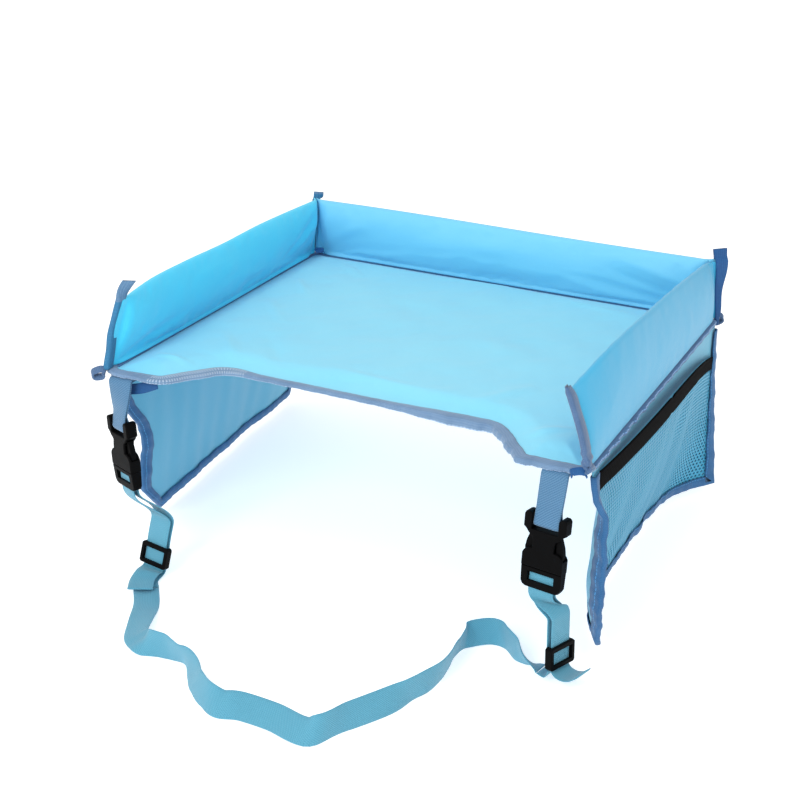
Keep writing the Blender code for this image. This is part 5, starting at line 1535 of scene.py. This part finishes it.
    def build_back(self, label: str, side: int) -> None:
        """A wide tape over the fin where two walls meet, which stands proud and ends in a loose tail."""
        diagonal = unit(np.array((-side, -1.0)))
        corner = np.array((side * (HALF_WIDTH - WALL_CORNER_SETBACK), HALF_DEPTH - WALL_CORNER_SETBACK))
        top, tail = self.back_tops[side > 0], self.back_tails[side > 0]
        base = corner - diagonal * WALL_FIN
        line, shares = self.line(base, diagonal, CORNER_LEAN, top, tail, self.foot_share)
        loose = smooth((shares - 0.97) / 0.08)
        wave = np.sin(shares * 8.0 + side) * 0.0005
        line[:, 0] += wave
        facing = np.array((0.97, 0.25)) if side < 0 else diagonal
        legs = self.turned(diagonal, facing, loose)
        if side < 0:
            line[:, :2] += np.array((0.0022, 0.0004))[None, :] * loose[:, None]
            nose = 0.0010 + loose * 0.0020
        else:
            nose = 0.0006 + 0.0078 * np.maximum(shares, 0) + wave
        reach = (WALL_FIN - 2.6 * WALL_SEAM_HALF) * (1 + loose * (1.1 if side < 0 else 0.2))
        reach = np.where(shares < 0, self.foot_leg, reach)
        room = (GAP + 1.4 * CLOTH + GAP) * (1 - 0.8 * loose)
        finish = Finish.STRIP_TAPE if side < 0 else Finish.END_TAPE
        self.folded(f"back_{label}_corner_binding", line, legs, nose, reach, room, finish)


# Side flaps


@dataclass
class SideFlap:
    """A hanging flap: lining cloth, net pocket with an elastic mouth, and tape round its edge."""

    side: int
    insets: tuple[float, ...]
    flares: tuple[float, ...]
    curls: tuple[float, ...]
    seed: int
    drop: float = 0.150
    cloth: float = 0.0008
    net: float = 0.0006
    band: float = 0.0010
    band_width: float = 0.016
    seam_start: float = 0.0045
    tape_room: float = 0.0007
    net_room: float = 0.0005
    edge_room: float = 0.0006
    band_room: float = 0.0007
    pocket_bulge: float = 0.0095
    hinge_x: float = HALF_WIDTH - 0.0015
    hinge_z: float = LIP_BOTTOM - GAP - 0.0004
    front_y: float = -HALF_DEPTH + 0.012
    back_y: float = HALF_DEPTH - 0.004
    curl_length: float = 0.030
    belly: float = 0.004
    front_swell: float = 0.35
    net_columns: int = 82
    net_rows: int = 40
    hole_share: float = 0.56
    mouth_front: float = 0.0041
    mouth_back: float = 0.0300
    waves: Table = ((0.0007, 0.031, 0.0), (0.0004, 0.0117, 0.6))
    wave_fade: float = 0.02

    @property
    def length(self) -> float:
        """From the flap's front edge at the seam to its back edge."""
        return self.back_y - self.front_y

    @property
    def label(self) -> str:
        """Left or right."""
        return "right" if self.side > 0 else "left"

    def surface(self, u: Array, v: Array) -> Array:
        """The flap's middle surface, u from front to back and v downwards."""
        u, v = np.broadcast_arrays(np.asarray(u, float), np.asarray(v, float))
        drops = (0.0, 0.12, 0.28, 0.43, 0.57, 0.68, 0.80, 0.92, 1.0)
        lengths = (0.0, 0.08, 0.2, 0.45, 0.65, 0.8, 0.9, 1.0)
        front = self.front_y + curve_at(drops, self.insets, v)
        length = self.back_y - front
        y = front + length * u
        flare = curve_at(lengths, self.flares, u) * np.abs(v) ** 1.4
        curl_share = np.clip(1 - u * length / self.curl_length, 0, 1) ** 2
        curl = curve_at(drops, self.curls, v) * curl_share
        belly = -self.belly * np.sin(np.pi * np.clip(v, 0, 1)) * (1 - u)
        hang = smooth((v - 0.10) / 0.22)
        folds = 0.0011 * ripple(y, v * 0.02, self.seed, 0.048)
        folds = folds + 0.00015 * ripple(y, v * 0.03, self.seed + 1, 0.018)
        between = np.sin(np.pi * np.clip(u, 0, 1)) ** 0.5
        x = self.side * (self.hinge_x + flare + curl + belly + folds * hang * between)
        return np.stack([x, y, self.hinge_z - self.drop * v], axis=-1)

    def out_of(self, u: Array, v: Array) -> Array:
        """Unit vectors off the flap's outer side."""
        small = 0.004
        along = self.surface(np.clip(u + small, 0, 1), v) - self.surface(np.clip(u - small, 0, 1), v)
        down = self.surface(u, np.clip(v + small, 0, 1)) - self.surface(u, np.clip(v - small, 0, 1))
        return unit(np.cross(down, along)) * self.side

    def lifted(self, u: Array, v: Array, height: Array) -> Array:
        """The surface pushed out by a height."""
        u, v, height = np.broadcast_arrays(u, v, height)
        return self.surface(u, v) + self.out_of(u, v) * height[..., None]

    def mouth(self, u: Array) -> Array:
        """The share of the drop where the pocket's mouth lies."""
        return (self.mouth_front + (self.mouth_back - self.mouth_front) * u**4.0) / self.drop

    def stand(self, u: Array, w: Array) -> Array:
        """How far the net stands off the lining, w from its mouth to the flap's foot."""
        seam_u = TAPE_WIDTH / self.length * 1.5
        seam_w = TAPE_WIDTH / self.drop * 1.5
        across = np.sin(np.pi * np.clip((u - seam_u) / (1 - 2 * seam_u), 0, 1)) ** 0.7
        downwards = np.sin(np.pi * (0.25 + 0.75 * np.clip(w / (1 - seam_w), 0, 1)))
        soft = 1 + 0.10 * ripple(u * 0.33, w * 0.04, self.seed + 4, 0.045) * smooth((w - 0.10) / 0.25)
        return self.pocket_bulge * across * downwards * soft

    def build(self) -> None:
        """Make the four layers."""
        self.build_lining()
        self.build_net()
        self.build_band()
        self.build_tape()

    def build_lining(self) -> None:
        """The inner cloth, from its seam under the rim to its foot."""
        u = np.linspace(0, 1, 130)[None, :]
        v = np.linspace(0, 1, 64)[:, None]
        half = self.cloth / 2
        top, low = self.lifted(u, v, half), self.lifted(u, v, -half)
        grid_u, grid_v = np.broadcast_arrays(u * self.length, v * self.drop)
        spread = np.stack([grid_u, grid_v], axis=-1)
        piece = thin_sheet(f"{self.label}_flap_lining", top, low, spread, material_of(Finish.LINING))
        placed(piece, f"{self.label}_flap", (f"{self.label}_flap_panel",))

    def build_net(self) -> None:
        """The pocket's net: rows of six-sided meshes, each a ring of thread round a hole."""
        across, downs = self.net_columns, self.net_rows
        columns, rows = np.meshgrid(np.arange(across), np.arange(downs), indexing="ij")
        middle_u = (columns + 0.5 * (rows % 2)) / (across - 0.5)
        middle_w = (rows + 0.5) / downs
        angle = np.arange(6) * math.pi / 3
        corner = np.stack([np.sin(angle), -np.cos(angle)], axis=-1) * np.array((2 / math.sqrt(3), 4 / 3))
        step = np.array((0.5 / (across - 0.5), 0.5 / downs))
        middle = np.stack([middle_u, middle_w], axis=-1)[:, :, None, :]
        outer = np.clip(middle + corner * step, 0, 1)
        hole = np.clip(middle + corner * step * self.hole_share, 0, 1)
        whole = np.concatenate([outer, hole], axis=2).reshape(-1, 12, 2)
        flat = np.round(whole.reshape(-1, 2), 6)
        u, w = flat[:, 0], flat[:, 1]
        v = self.mouth(u) + (1 - self.mouth(u)) * w
        base = self.cloth / 2 + self.net_room + self.net / 2
        places = self.lifted(u, v, base + self.stand(u, w))
        start = np.arange(len(whole))[:, None] * 12
        a = np.arange(6)
        b = (a + 1) % 6
        faces = np.stack([start + a, start + b, start + b + 6, start + a + 6], axis=-1).reshape(-1, 4)
        spread = np.column_stack([u * self.length, w * self.drop])
        piece = make_piece(f"{self.label}_flap_net", places, faces, spread, material_of(Finish.NET))
        thick = piece.modifiers.new("thread", "SOLIDIFY")
        thick.thickness = self.net * 0.8
        thick.offset = 0
        baked(piece)
        placed(piece, f"{self.label}_flap", (f"{self.label}_flap_mesh",))

    def build_band(self) -> None:
        """The elastic sewn along the pocket's mouth."""
        edge = (TAPE_WIDTH + 2 * GAP) / self.length
        u = np.linspace(edge * 1.25, 1 - edge * 1.1, 160)[None, :]
        rows = np.linspace(0, 1, 9)[:, None]
        grid_u, grid_r = np.broadcast_arrays(u, rows)
        mouth = self.mouth(grid_u)
        tall = self.band_width / self.drop * (1 - 0.30 * grid_u**3)
        joint = bell(grid_u, 0.52, 0.010)
        v = mouth + tall * (0.5 + (grid_r - 0.5) * (1 - 0.16 * joint))
        w = (v - mouth) / (1 - mouth)
        base = self.cloth / 2 + self.net_room + self.net + self.band_room * 0.6 + self.stand(grid_u, w)
        low, top = self.lifted(grid_u, v, base), self.lifted(grid_u, v, base + self.band)
        spread = np.stack([grid_u * self.length, grid_r * self.band_width], axis=-1)
        piece = thin_sheet(f"{self.label}_flap_band", top, low, spread, material_of(Finish.ELASTIC))
        placed(piece, f"{self.label}_flap", (f"{self.label}_flap_elastic",))

    def build_tape(self) -> None:
        """The tape round the front, foot and back edges, waved as it is on stretched cloth."""
        start = self.seam_start / self.drop
        across = TAPE_WIDTH / self.length * 1.1
        down = TAPE_WIDTH / self.drop
        down_rows, foot_rows = 60, 150
        sides = np.linspace(start, 0.985, down_rows)
        feet = np.linspace(0.03, 0.97, foot_rows)
        u = np.concatenate([np.zeros(down_rows + 1), feet, np.ones(down_rows + 1)])
        v = np.concatenate([sides, np.ones(foot_rows + 2), sides[::-1]])
        right = np.concatenate([np.ones(down_rows + 1), np.zeros(foot_rows), -np.ones(down_rows + 1)])
        up = np.concatenate([np.zeros(down_rows), np.ones(foot_rows + 2), np.zeros(down_rows)])
        low = -self.cloth / 2 - self.tape_room
        top = self.cloth / 2 + self.net_room + self.net + self.tape_room
        edge = self.surface(u, v)
        swell = 1 + self.front_swell * np.sin(np.pi * np.clip((v - 0.15) / 0.85, 0, 1)) * (right > 0)
        back = self.surface(u + right * across * swell, v - up * down)
        off = self.out_of(u, v)
        corner = np.sqrt(1 + (right * up) ** 2)
        away = unit(edge - back) * corner[:, None]
        along = travelled(edge)
        wave = sewn_wave(along, self.waves, self.wave_fade) * (1 + 2.2 * (swell - 1))
        out = self.edge_room + TAPE + np.abs(wave) * 0.4
        tilt = off * (wave * 0.6)[:, None]
        inset = unit(back - edge)
        reach = np.linalg.norm(back - edge, axis=1)
        mid, half = (low + top) / 2, (top - low) / 2 + TAPE
        swing = np.linspace(math.pi / 2, -math.pi / 2, 7)
        inner = half - TAPE

        def part(way: Array, reach: Array, level: float) -> Array:
            """A line of the profile: so far one way off the edge, and so high off the cloth."""
            return edge + way * reach[:, None] + off * level

        ring = [part(inset, reach * share, mid + half * level) for share, level in ((1.0, 1.0), (0.5, 1.04))]
        ring += [part(away, out * math.cos(a) ** 0.6, mid + half * math.sin(a)) for a in swing]
        ring += [part(inset, reach * share, mid + half * level) for share, level in ((0.5, -1.04), (1, -1))]
        ring += [part(inset, reach * share, mid - inner) for share in (1, 0)]
        ring += [part(inset, reach * share, mid + inner) for share in (0, 1)]
        rings = np.stack([line + tilt for line in ring], axis=1)
        piece = swept(f"{self.label}_flap_tape", rings, laid_out(rings), material_of(Finish.FLAP_TAPE))
        placed(piece, f"{self.label}_flap", (f"{self.label}_flap_binding",))


# Webbing


@dataclass(frozen=True)
class Lead:
    """A length of webbing that leaves a slider and turns as it goes."""

    places: Array
    across: tuple[float, float, float]
    shares: tuple[float, ...]

    def widths(self, start: Array) -> Array:
        """Its width directions: the slider's, mixed with its own last one by a share at each place."""
        return np.array([start * (1 - share) + np.array(self.across) * share for share in self.shares])


def front_corner(side: int) -> Array:
    """The tray's front corner on a side, from which the straps' places are measured."""
    return np.array((side * HALF_WIDTH, -HALF_DEPTH, 0))


@dataclass
class Belt:
    """The webbing: two tabs, two adjustable loops through the buckles, and the length between them."""

    ply_pitch: float = PLY_PITCH
    ladder_y: float = 0.0010
    ladder_z: float = 0.0062
    insert_bottom: float = 0.0165
    horn_top: float = 0.0415
    socket_bar_z: float = 0.0340
    socket_bar: float = 0.0020
    slider_height: float = 0.0175
    slider_travel: float = 0.014
    clear: float = 0.0015
    tab_pitch: float = 0.0015
    tab_bend: float = 0.0030
    tab_hidden: float = 0.0085
    tab_front: float = 0.0034
    step: float = 0.0013
    run_steps: int = 9
    joint: float = 0.0009
    left_drift: float = -0.0011
    ends: dict[str, tuple[Array, Array]] = field(default_factory=dict)

    def buckle(self, side: int, top: tuple, foot: tuple, degrees: float) -> Place:
        """A buckle's frame, from where it hangs off the tray's front corner."""
        top, foot = front_corner(side) + top, front_corner(side) + foot
        up = unit(top - foot)
        return turned_place(top - up * self.horn_top, up, degrees)

    def slider(self, side: int, centre: tuple, up: tuple, degrees: float) -> Place:
        """A slider's frame, from the tray's front corner."""
        return turned_place(front_corner(side) + centre, np.array(up, float), degrees)

    def finer(self, places: Array, sides: Array, offs: Array) -> tuple[Array, ...]:
        """Stations of a strap read at short steps along smooth curves."""
        along = travelled(places)
        keep = np.concatenate([[True], np.diff(along) > 1e-6])
        along, places, sides, offs = along[keep], places[keep], sides[keep], offs[keep]
        wanted = np.linspace(0, along[-1], max(2, int(along[-1] / self.step)))
        read = [curve_at(along, part, wanted) for part in (places, sides, offs)]
        return read[0], unit(read[1]), unit(read[2])

    def webbing(
        self, name: str, places: Array, sides: Array, offs: Array, finish: Finish, **held: str | list[str]
    ) -> Object:
        """A strap of webbing, a sheet as long as its line; how it is held is taken but not used."""
        piece = strap(name, places, sides, offs, material_of(finish))
        return piece

    def rested(self, places: Array, sides: Array) -> Array:
        """The same line, lifted wherever the strap would sink into the ground."""
        places = places.copy()
        sides, off = squared(places, sides)
        reach = np.abs(sides[:, 2]) * WEB_WIDTH / 2 + np.abs(off[:, 2]) * WEB / 2
        places[:, 2] = np.maximum(places[:, 2], GROUND + reach)
        return places

    def build_tab(self, label: str, centre_x: float, frame: Place) -> None:
        """A tab: out from under the rim, down, round the socket's bar, and back up.

        Args:
            label: left or right.
            centre_x: the x of its middle under the rim.
            frame: the buckle's frame.
        """
        half, bend, hidden = self.tab_pitch / 2, self.tab_bend, self.tab_hidden
        level_z = LIP_BOTTOM - GAP - WEB / 2 - half
        front_y = -HALF_DEPTH - self.tab_front + WEB / 2 + half
        start = np.array((centre_x, front_y + bend + hidden, level_z))
        bar = frame.at(0, 0, self.socket_bar_z)
        above = frame.at(0, 0, self.socket_bar_z + 3 * self.ply_pitch)
        middle = [start, start - np.array((0, hidden * 0.5, 0)), start - np.array((0, hidden, 0))]
        for angle in np.linspace(0, math.pi / 2, 7)[1:]:
            arc = np.array((0, -bend * math.sin(angle), -bend * (1 - math.cos(angle))))
            middle.append(start - np.array((0, hidden, 0)) + arc)
        straight = middle[-1]
        turns = (0.1, 0.2, 0.35, 0.5, 0.65, 0.8, 1.0)
        middle += [straight + (above - straight) * share for share in turns]
        middle = np.array(middle)
        level = np.array((1.0, 0.0, 0.0))
        turning = [unit(level * (1 - share) + frame.across * share) for share in turns]
        sides, off = squared(middle, np.array([level] * (len(middle) - len(turns)) + turning))
        wrap = self.socket_bar + GAP + WEB / 2
        loop = []
        for share in np.linspace(0, 1, 25):
            angle = math.pi * (share * 1.24 - 0.12)
            loop.append(bar - frame.back * wrap * math.cos(angle) - frame.up * wrap * math.sin(angle))
        loop = np.array(loop)
        loop_sides = np.tile(frame.across, (len(loop), 1))
        _, loop_off = squared(loop, loop_sides)
        sign = math.copysign(1, -off[-1] @ frame.back)
        front_ply, rear_ply = middle + off * half * sign, middle - off * half * sign
        if loop_off[0] @ off[-1] < 0:
            loop_off = -loop_off
        places = np.concatenate([front_ply, loop, rear_ply[::-1]])
        widths = np.concatenate([sides, loop_sides, sides[::-1]])
        offs = np.concatenate([off, loop_off, -off[::-1]])
        held = {"held": "folded", "rests_on": [f"{label}_buckle_socket"]}
        piece = self.webbing(f"{label}_tab_strap", places, widths, offs, Finish.TAB, **held)
        placed(piece, "tray", (f"{label}_webbing_tab",))

    def build_loop(
        self, label: str, buckle: Place, slider: Place, tail: Lead, run: Lead, drift: float = 0.0
    ) -> None:
        """A loop: the loose tail, up through the slider, round the insert's bar, and down to the belt.

        Args:
            label: left or right.
            buckle: the insert's frame.
            slider: the slider's frame.
            tail: the loose end, from the slider outwards.
            run: what goes on from the slider to the belt.
            drift: how far the strap bears to the slider's side over the slider's travel.
        """
        lead = self.slider_height / 2 + self.clear
        ladder = buckle.at(0, self.ladder_y, -self.ladder_z)
        foot = buckle.at(0, self.ladder_y, -self.insert_bottom - 2 * self.clear)
        above = slider.at(drift, self.ladder_y, self.slider_travel + lead + 3 * self.clear)
        levels = np.linspace(self.slider_travel + lead, -lead, 7)
        bear = drift * np.clip(levels / self.slider_travel, 0, 1)
        straight = [slider.at(aside, self.ladder_y, level) for aside, level in zip(bear, levels)]
        length = np.linalg.norm(above - foot)
        share = np.linspace(0, 1, 25)[1:-1, None]
        ease = smooth(share)
        leaving, arriving = share * (1 - share) ** 2, share * share * (1 - share)
        line = foot * (1 - ease) + above * ease
        line = line - (buckle.up * leaving - slider.up * arriving) * length
        turning = buckle.across * (1 - ease) + slider.across * ease
        middle = np.array([ladder, foot, *line, above, *straight])
        low = 1 + len(straight)
        sides = unit(np.array([buckle.across] * 2 + [*turning] + [slider.across] * low))
        back = unit(np.cross(sides, np.gradient(middle, axis=0)))
        sides[:2], back[:2] = buckle.across, buckle.back
        sides[-low:], back[-low:] = slider.across, slider.back
        half = self.ply_pitch / 2
        count = len(middle)
        front_ply, rear_ply = middle - back * half, middle + back * half
        angles = np.linspace(0, math.pi, 17)[1:-1]
        arms = -np.outer(np.cos(angles), buckle.back) + np.outer(np.sin(angles), buckle.up)
        wrap = ladder + arms * half
        wrap_sides = np.tile(buckle.across, (len(wrap), 1))
        places = np.concatenate([tail.places[::-1], front_ply[::-1], wrap, rear_ply, run.places])
        tail_sides, run_sides = tail.widths(slider.across), run.widths(slider.across)
        widths = np.concatenate([tail_sides[::-1], sides[::-1], wrap_sides, sides, run_sides])
        places = self.rested(places, widths)
        widths, offs = squared(places, widths)
        first = len(tail.places) + count
        front_rows = first - 1 - np.arange(count)
        rear_rows = first + len(wrap) + np.arange(count)
        for rows in (front_rows, rear_rows):
            widths[rows] = sides
            offs[rows] = back * np.sign((back * offs[rows]).sum(axis=1, keepdims=True))
        offs[first : first + len(wrap)] = arms * math.copysign(1, arms[0] @ offs[first])
        for row in range(1, len(offs)):
            if offs[row] @ offs[row - 1] < 0:
                offs[row] = -offs[row]
        places, widths, offs = self.finer(places, widths, offs)
        held = {"held": "folded", "rests_on": [f"{label}_slider"]}
        piece = self.webbing(f"{label}_loop_strap", places, widths, offs, Finish.BELT, **held)
        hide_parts(f"{label}_belt_loop")
        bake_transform(piece)
        self.ends[label] = (places[-1], widths[-1])

    def build_run(self, edges: Array) -> None:
        """The middle length, lying on the ground on its edge in loose waves."""
        places, sides = edges.mean(axis=1), unit(edges[:, 1] - edges[:, 0])
        left_place, left_side = self.ends["left"]
        right_place, right_side = self.ends["right"]
        first = left_place + unit(places[0] - left_place) * self.joint
        last = right_place + unit(places[-1] - right_place) * self.joint
        places = np.concatenate([[first], places, [last]])
        if left_side @ sides[0] < 0:
            left_side = -left_side
        if right_side @ sides[-1] < 0:
            right_side = -right_side
        sides = np.concatenate([[left_side], sides, [right_side]])
        stations = np.arange(len(places), dtype=float)
        wanted = np.linspace(0, len(places) - 1, (len(places) - 1) * self.run_steps + 1)
        places, sides = curve_at(stations, places, wanted), unit(curve_at(stations, sides, wanted))
        sides, offs = squared(places, sides)
        places = self.rested(places, sides)
        piece = self.webbing("belt_middle_strap", places, sides, offs, Finish.BELT, held="laid")
        placed(piece, "tray", ("belt_run",))

    def build(self) -> None:
        """Make every strap."""
        right = self.buckle(1, (-0.0257, -0.0032, -0.0327), (-0.0262, -0.0074, -0.0905), -9.0)
        left = self.buckle(-1, (0.0176, -0.0032, -0.0330), (0.0230, -0.0042, -0.0907), -28.0)
        self.build_tab("right", HALF_WIDTH - 0.0238, right)
        self.build_tab("left", 0.0178 - HALF_WIDTH, left)
        right_slider = self.slider(1, (-0.0095, -0.009, -0.1385), (-0.06, 0.06, 0.99), 70.0)
        left_slider = self.slider(-1, (0.0490, -0.0085, -0.1440), (0.08, 0.26, 0.96), -8.0)
        edges = np.array(BELT_EDGES)
        first = unit(edges[0, 1] - edges[0, 0])
        last = -unit(edges[-1, 1] - edges[-1, 0])
        tail = ((0.0488, -0.0215, -0.1535), (0.0500, -0.030, -0.1548), (0.0570, -0.045, -0.1550))
        run = ((0.0500, -0.026, -0.1590), (0.0560, -0.035, -0.1592))
        left_tail = Lead(front_corner(-1) + tail, (0.96, -0.27, 0.0), (0.3, 0.7, 1.0))
        left_run = Lead(front_corner(-1) + run, first, (0.5, 0.9))
        self.build_loop("left", left, left_slider, left_tail, left_run, self.left_drift)
        tail = (
            (-0.0055, -0.0108, -0.1512),
            (0.0000, -0.0128, -0.1520),
            (0.0065, -0.0150, -0.1495),
            (0.0115, -0.0165, -0.1450),
        )
        run = ((-0.0124, -0.0092, -0.1528), (-0.0162, -0.01065, -0.1558), (-0.021, -0.010, -0.1545))
        right_tail = Lead(front_corner(1) + tail, (0.28, 0.96, 0.0), (0.1, 0.3, 0.7, 1.0))
        right_run = Lead(front_corner(1) + run, last, (0.0, 0.1, 0.3))
        self.build_loop("right", right, right_slider, right_tail, right_run)
        self.build_run(edges)


@dataclass
class Hardware:
    """The moulded pieces and the board, whose shapes come from the frame and which only take a finish."""

    parts: tuple[str, ...] = (
        "buckle_socket", "buckle_insert", "buckle_left_prong", "buckle_right_prong", "slider"
    )

    def dress(self) -> None:
        """Give each moulded piece and the stiff board its finish."""
        finishes = {"base_board": Finish.BOARD}
        finishes |= {f"{side}_{part}": Finish.PLASTIC for side in ("left", "right") for part in self.parts}
        for name, finish in finishes.items():
            piece = bpy.data.objects[name]
            for slot in piece.material_slots:
                slot.material = material_of(finish)
            LOG.info("%s takes %s", name, finish.name)


@dataclass
class Studio:
    """Floor, light and camera."""

    cam: tuple[float, float, float] = (0.481, -1.108, 0.465)
    yaw: float = 24.468
    pitch: float = 23.039
    roll: float = 1.39
    lens: float = 70.308
    floor_half: float = 6.0
    floor_drop: float = 0.0002

    def build(self) -> None:
        """Stand the floor, light and camera."""
        self.build_floor()
        self.build_light()
        self.build_camera()

    def build_floor(self) -> None:
        """A wide pale floor just under the belt."""
        half, low = self.floor_half, GROUND - self.floor_drop
        points = [(-half, -half, low), (half, -half, low), (half, half, low), (-half, half, low)]
        mesh = bpy.data.meshes.new("floor")
        mesh.from_pydata(points, [], [(0, 1, 2, 3)])
        sheet = NodeSheet("pale_floor")
        glow = {"Base_Color": (0.80, 0.80, 0.80), "Roughness": 0.8, "Emission_Color": (1.0, 1.0, 1.0)}
        mesh.materials.append(sheet.finish(Emission_Strength=0.55, **glow))
        linked("floor", mesh)

    def lamp(self, name: str, place: tuple, aim: tuple, size: float, power: float) -> None:
        """A soft square lamp that faces a place."""
        light = bpy.data.lights.new(name, "AREA")
        light.shape = "SQUARE"
        light.size = size
        light.energy = power
        lamp = linked(name, light)
        lamp.location = place
        lamp.rotation_euler = (Vector(aim) - Vector(place)).to_track_quat("-Z", "Y").to_euler()

    def build_light(self) -> None:
        """A near-white world, a soft key from the upper left and a weak fill from the right."""
        world = bpy.data.worlds.new("studio")
        bpy.context.scene.world = world
        world.use_nodes = True
        back = world.node_tree.nodes["Background"]
        back.inputs["Color"].default_value = (1.0, 1.0, 1.0, 1)
        back.inputs["Strength"].default_value = 0.80
        self.lamp("key", (-0.25, -1.8, 1.15), (0.0, 0.05, 0.0), 0.8, 19.0)
        self.lamp("side", (0.9, -0.5, 1.7), (-0.1, 0.0, 0.0), 0.9, 4.0)

    def build_camera(self) -> None:
        """The camera that took the photograph's view."""
        a, e, r = (math.radians(value) for value in (self.yaw, self.pitch, self.roll))
        back = Vector((math.sin(a) * math.cos(e), -math.cos(a) * math.cos(e), math.sin(e)))
        right0 = Vector((math.cos(a), math.sin(a), 0))
        up0 = back.cross(right0)
        right = right0 * math.cos(r) + up0 * math.sin(r)
        up = up0 * math.cos(r) - right0 * math.sin(r)
        lens = bpy.data.cameras.new("camera")
        lens.lens = self.lens
        lens.sensor_width = 36.0
        lens.clip_start = 0.01
        camera = linked("camera", lens)
        turn = Matrix((right, up, back)).transposed().to_4x4()
        camera.matrix_world = Matrix.Translation(Vector(self.cam)) @ turn
        scene = bpy.context.scene
        scene.camera = camera
        scene.view_settings.view_transform = "Standard"


def main() -> None:
    """Build the studio, then every part of the tray table."""
    logging.basicConfig(level=logging.INFO, format="%(name)s %(message)s")
    Studio().build()
    left_tops = (0.0655, 0.0662, 0.0636, 0.0640, 0.0605)
    right_tops = (0.0610, 0.0715, 0.0700, 0.0660, 0.0580)
    back_tops = (0.0605, 0.0612, 0.0605, 0.0596, 0.0598)
    left_creases = (
        Crease((0.262, 0.018), (0.330, 0.052), 0.0042, -0.0020),
        Crease((0.275, 0.014), (0.338, 0.044), 0.0040, 0.0014),
        Crease((0.015, 0.014), (0.100, 0.024), 0.0040, -0.0014),
        Crease((0.110, 0.050), (0.190, 0.040), 0.0070, 0.0012),
        Crease((0.180, 0.012), (0.250, 0.022), 0.0045, -0.0013),
    )
    right_creases = (
        Crease((0.240, 0.058), (0.335, 0.028), 0.0050, 0.0018),
        Crease((0.225, 0.050), (0.310, 0.022), 0.0050, -0.0016),
        Crease((0.020, 0.022), (0.075, 0.050), 0.0050, 0.0018),
        Crease((0.110, 0.044), (0.200, 0.050), 0.0070, -0.0014),
        Crease((0.130, 0.016), (0.230, 0.020), 0.0060, 0.0014),
    )
    back_creases = (
        Crease((0.300, 0.052), (0.385, 0.030), 0.0050, 0.0018),
        Crease((0.290, 0.040), (0.370, 0.020), 0.0050, -0.0016),
        Crease((0.012, 0.014), (0.060, 0.046), 0.0055, 0.0016),
        Crease((0.110, 0.034), (0.230, 0.044), 0.0090, 0.0014),
        Crease((0.140, 0.010), (0.270, 0.017), 0.0050, -0.0012),
    )
    TrayBase().build()
    PaddedWall("left", -1, left_tops, Finish.LEFT_WALL_PAINTED_LIGHT, 21, left_creases).build()
    PaddedWall("right", 1, right_tops, Finish.RIGHT_WALL_PAINTED_SHADE, 31, right_creases).build()
    PaddedWall("back", 0, back_tops, Finish.BACK_WALL_PAINTED_SHEEN, 41, back_creases).build()
    EndRibbons().build()
    right_insets = (0.0, 0.0, 0.009, 0.008, 0.009, 0.005, 0.010, 0.018, 0.024)
    right_flares = (0.0065, -0.0065, -0.0190, -0.0215, -0.0215, -0.0185, -0.0090, 0.0125)
    right_curls = (0.0, 0.004, 0.011, 0.012, 0.012, 0.011, 0.008, 0.003, 0.0)
    SideFlap(1, right_insets, right_flares, right_curls, 51).build()
    left_insets = (0.0, 0.005, 0.017, 0.034, 0.038, 0.037, 0.037, 0.052, 0.065)
    left_flares = (0.0045, 0.0065, 0.010, 0.0165, 0.0205, 0.0230, 0.0245, 0.0265)
    left_curls = (0.0, 0.0, 0.001, 0.002, 0.002, 0.002, 0.001, 0.0, 0.0)
    SideFlap(-1, left_insets, left_flares, left_curls, 61).build()
    Belt().build()
    Hardware().dress()


if __name__ == "__main__":
    main()
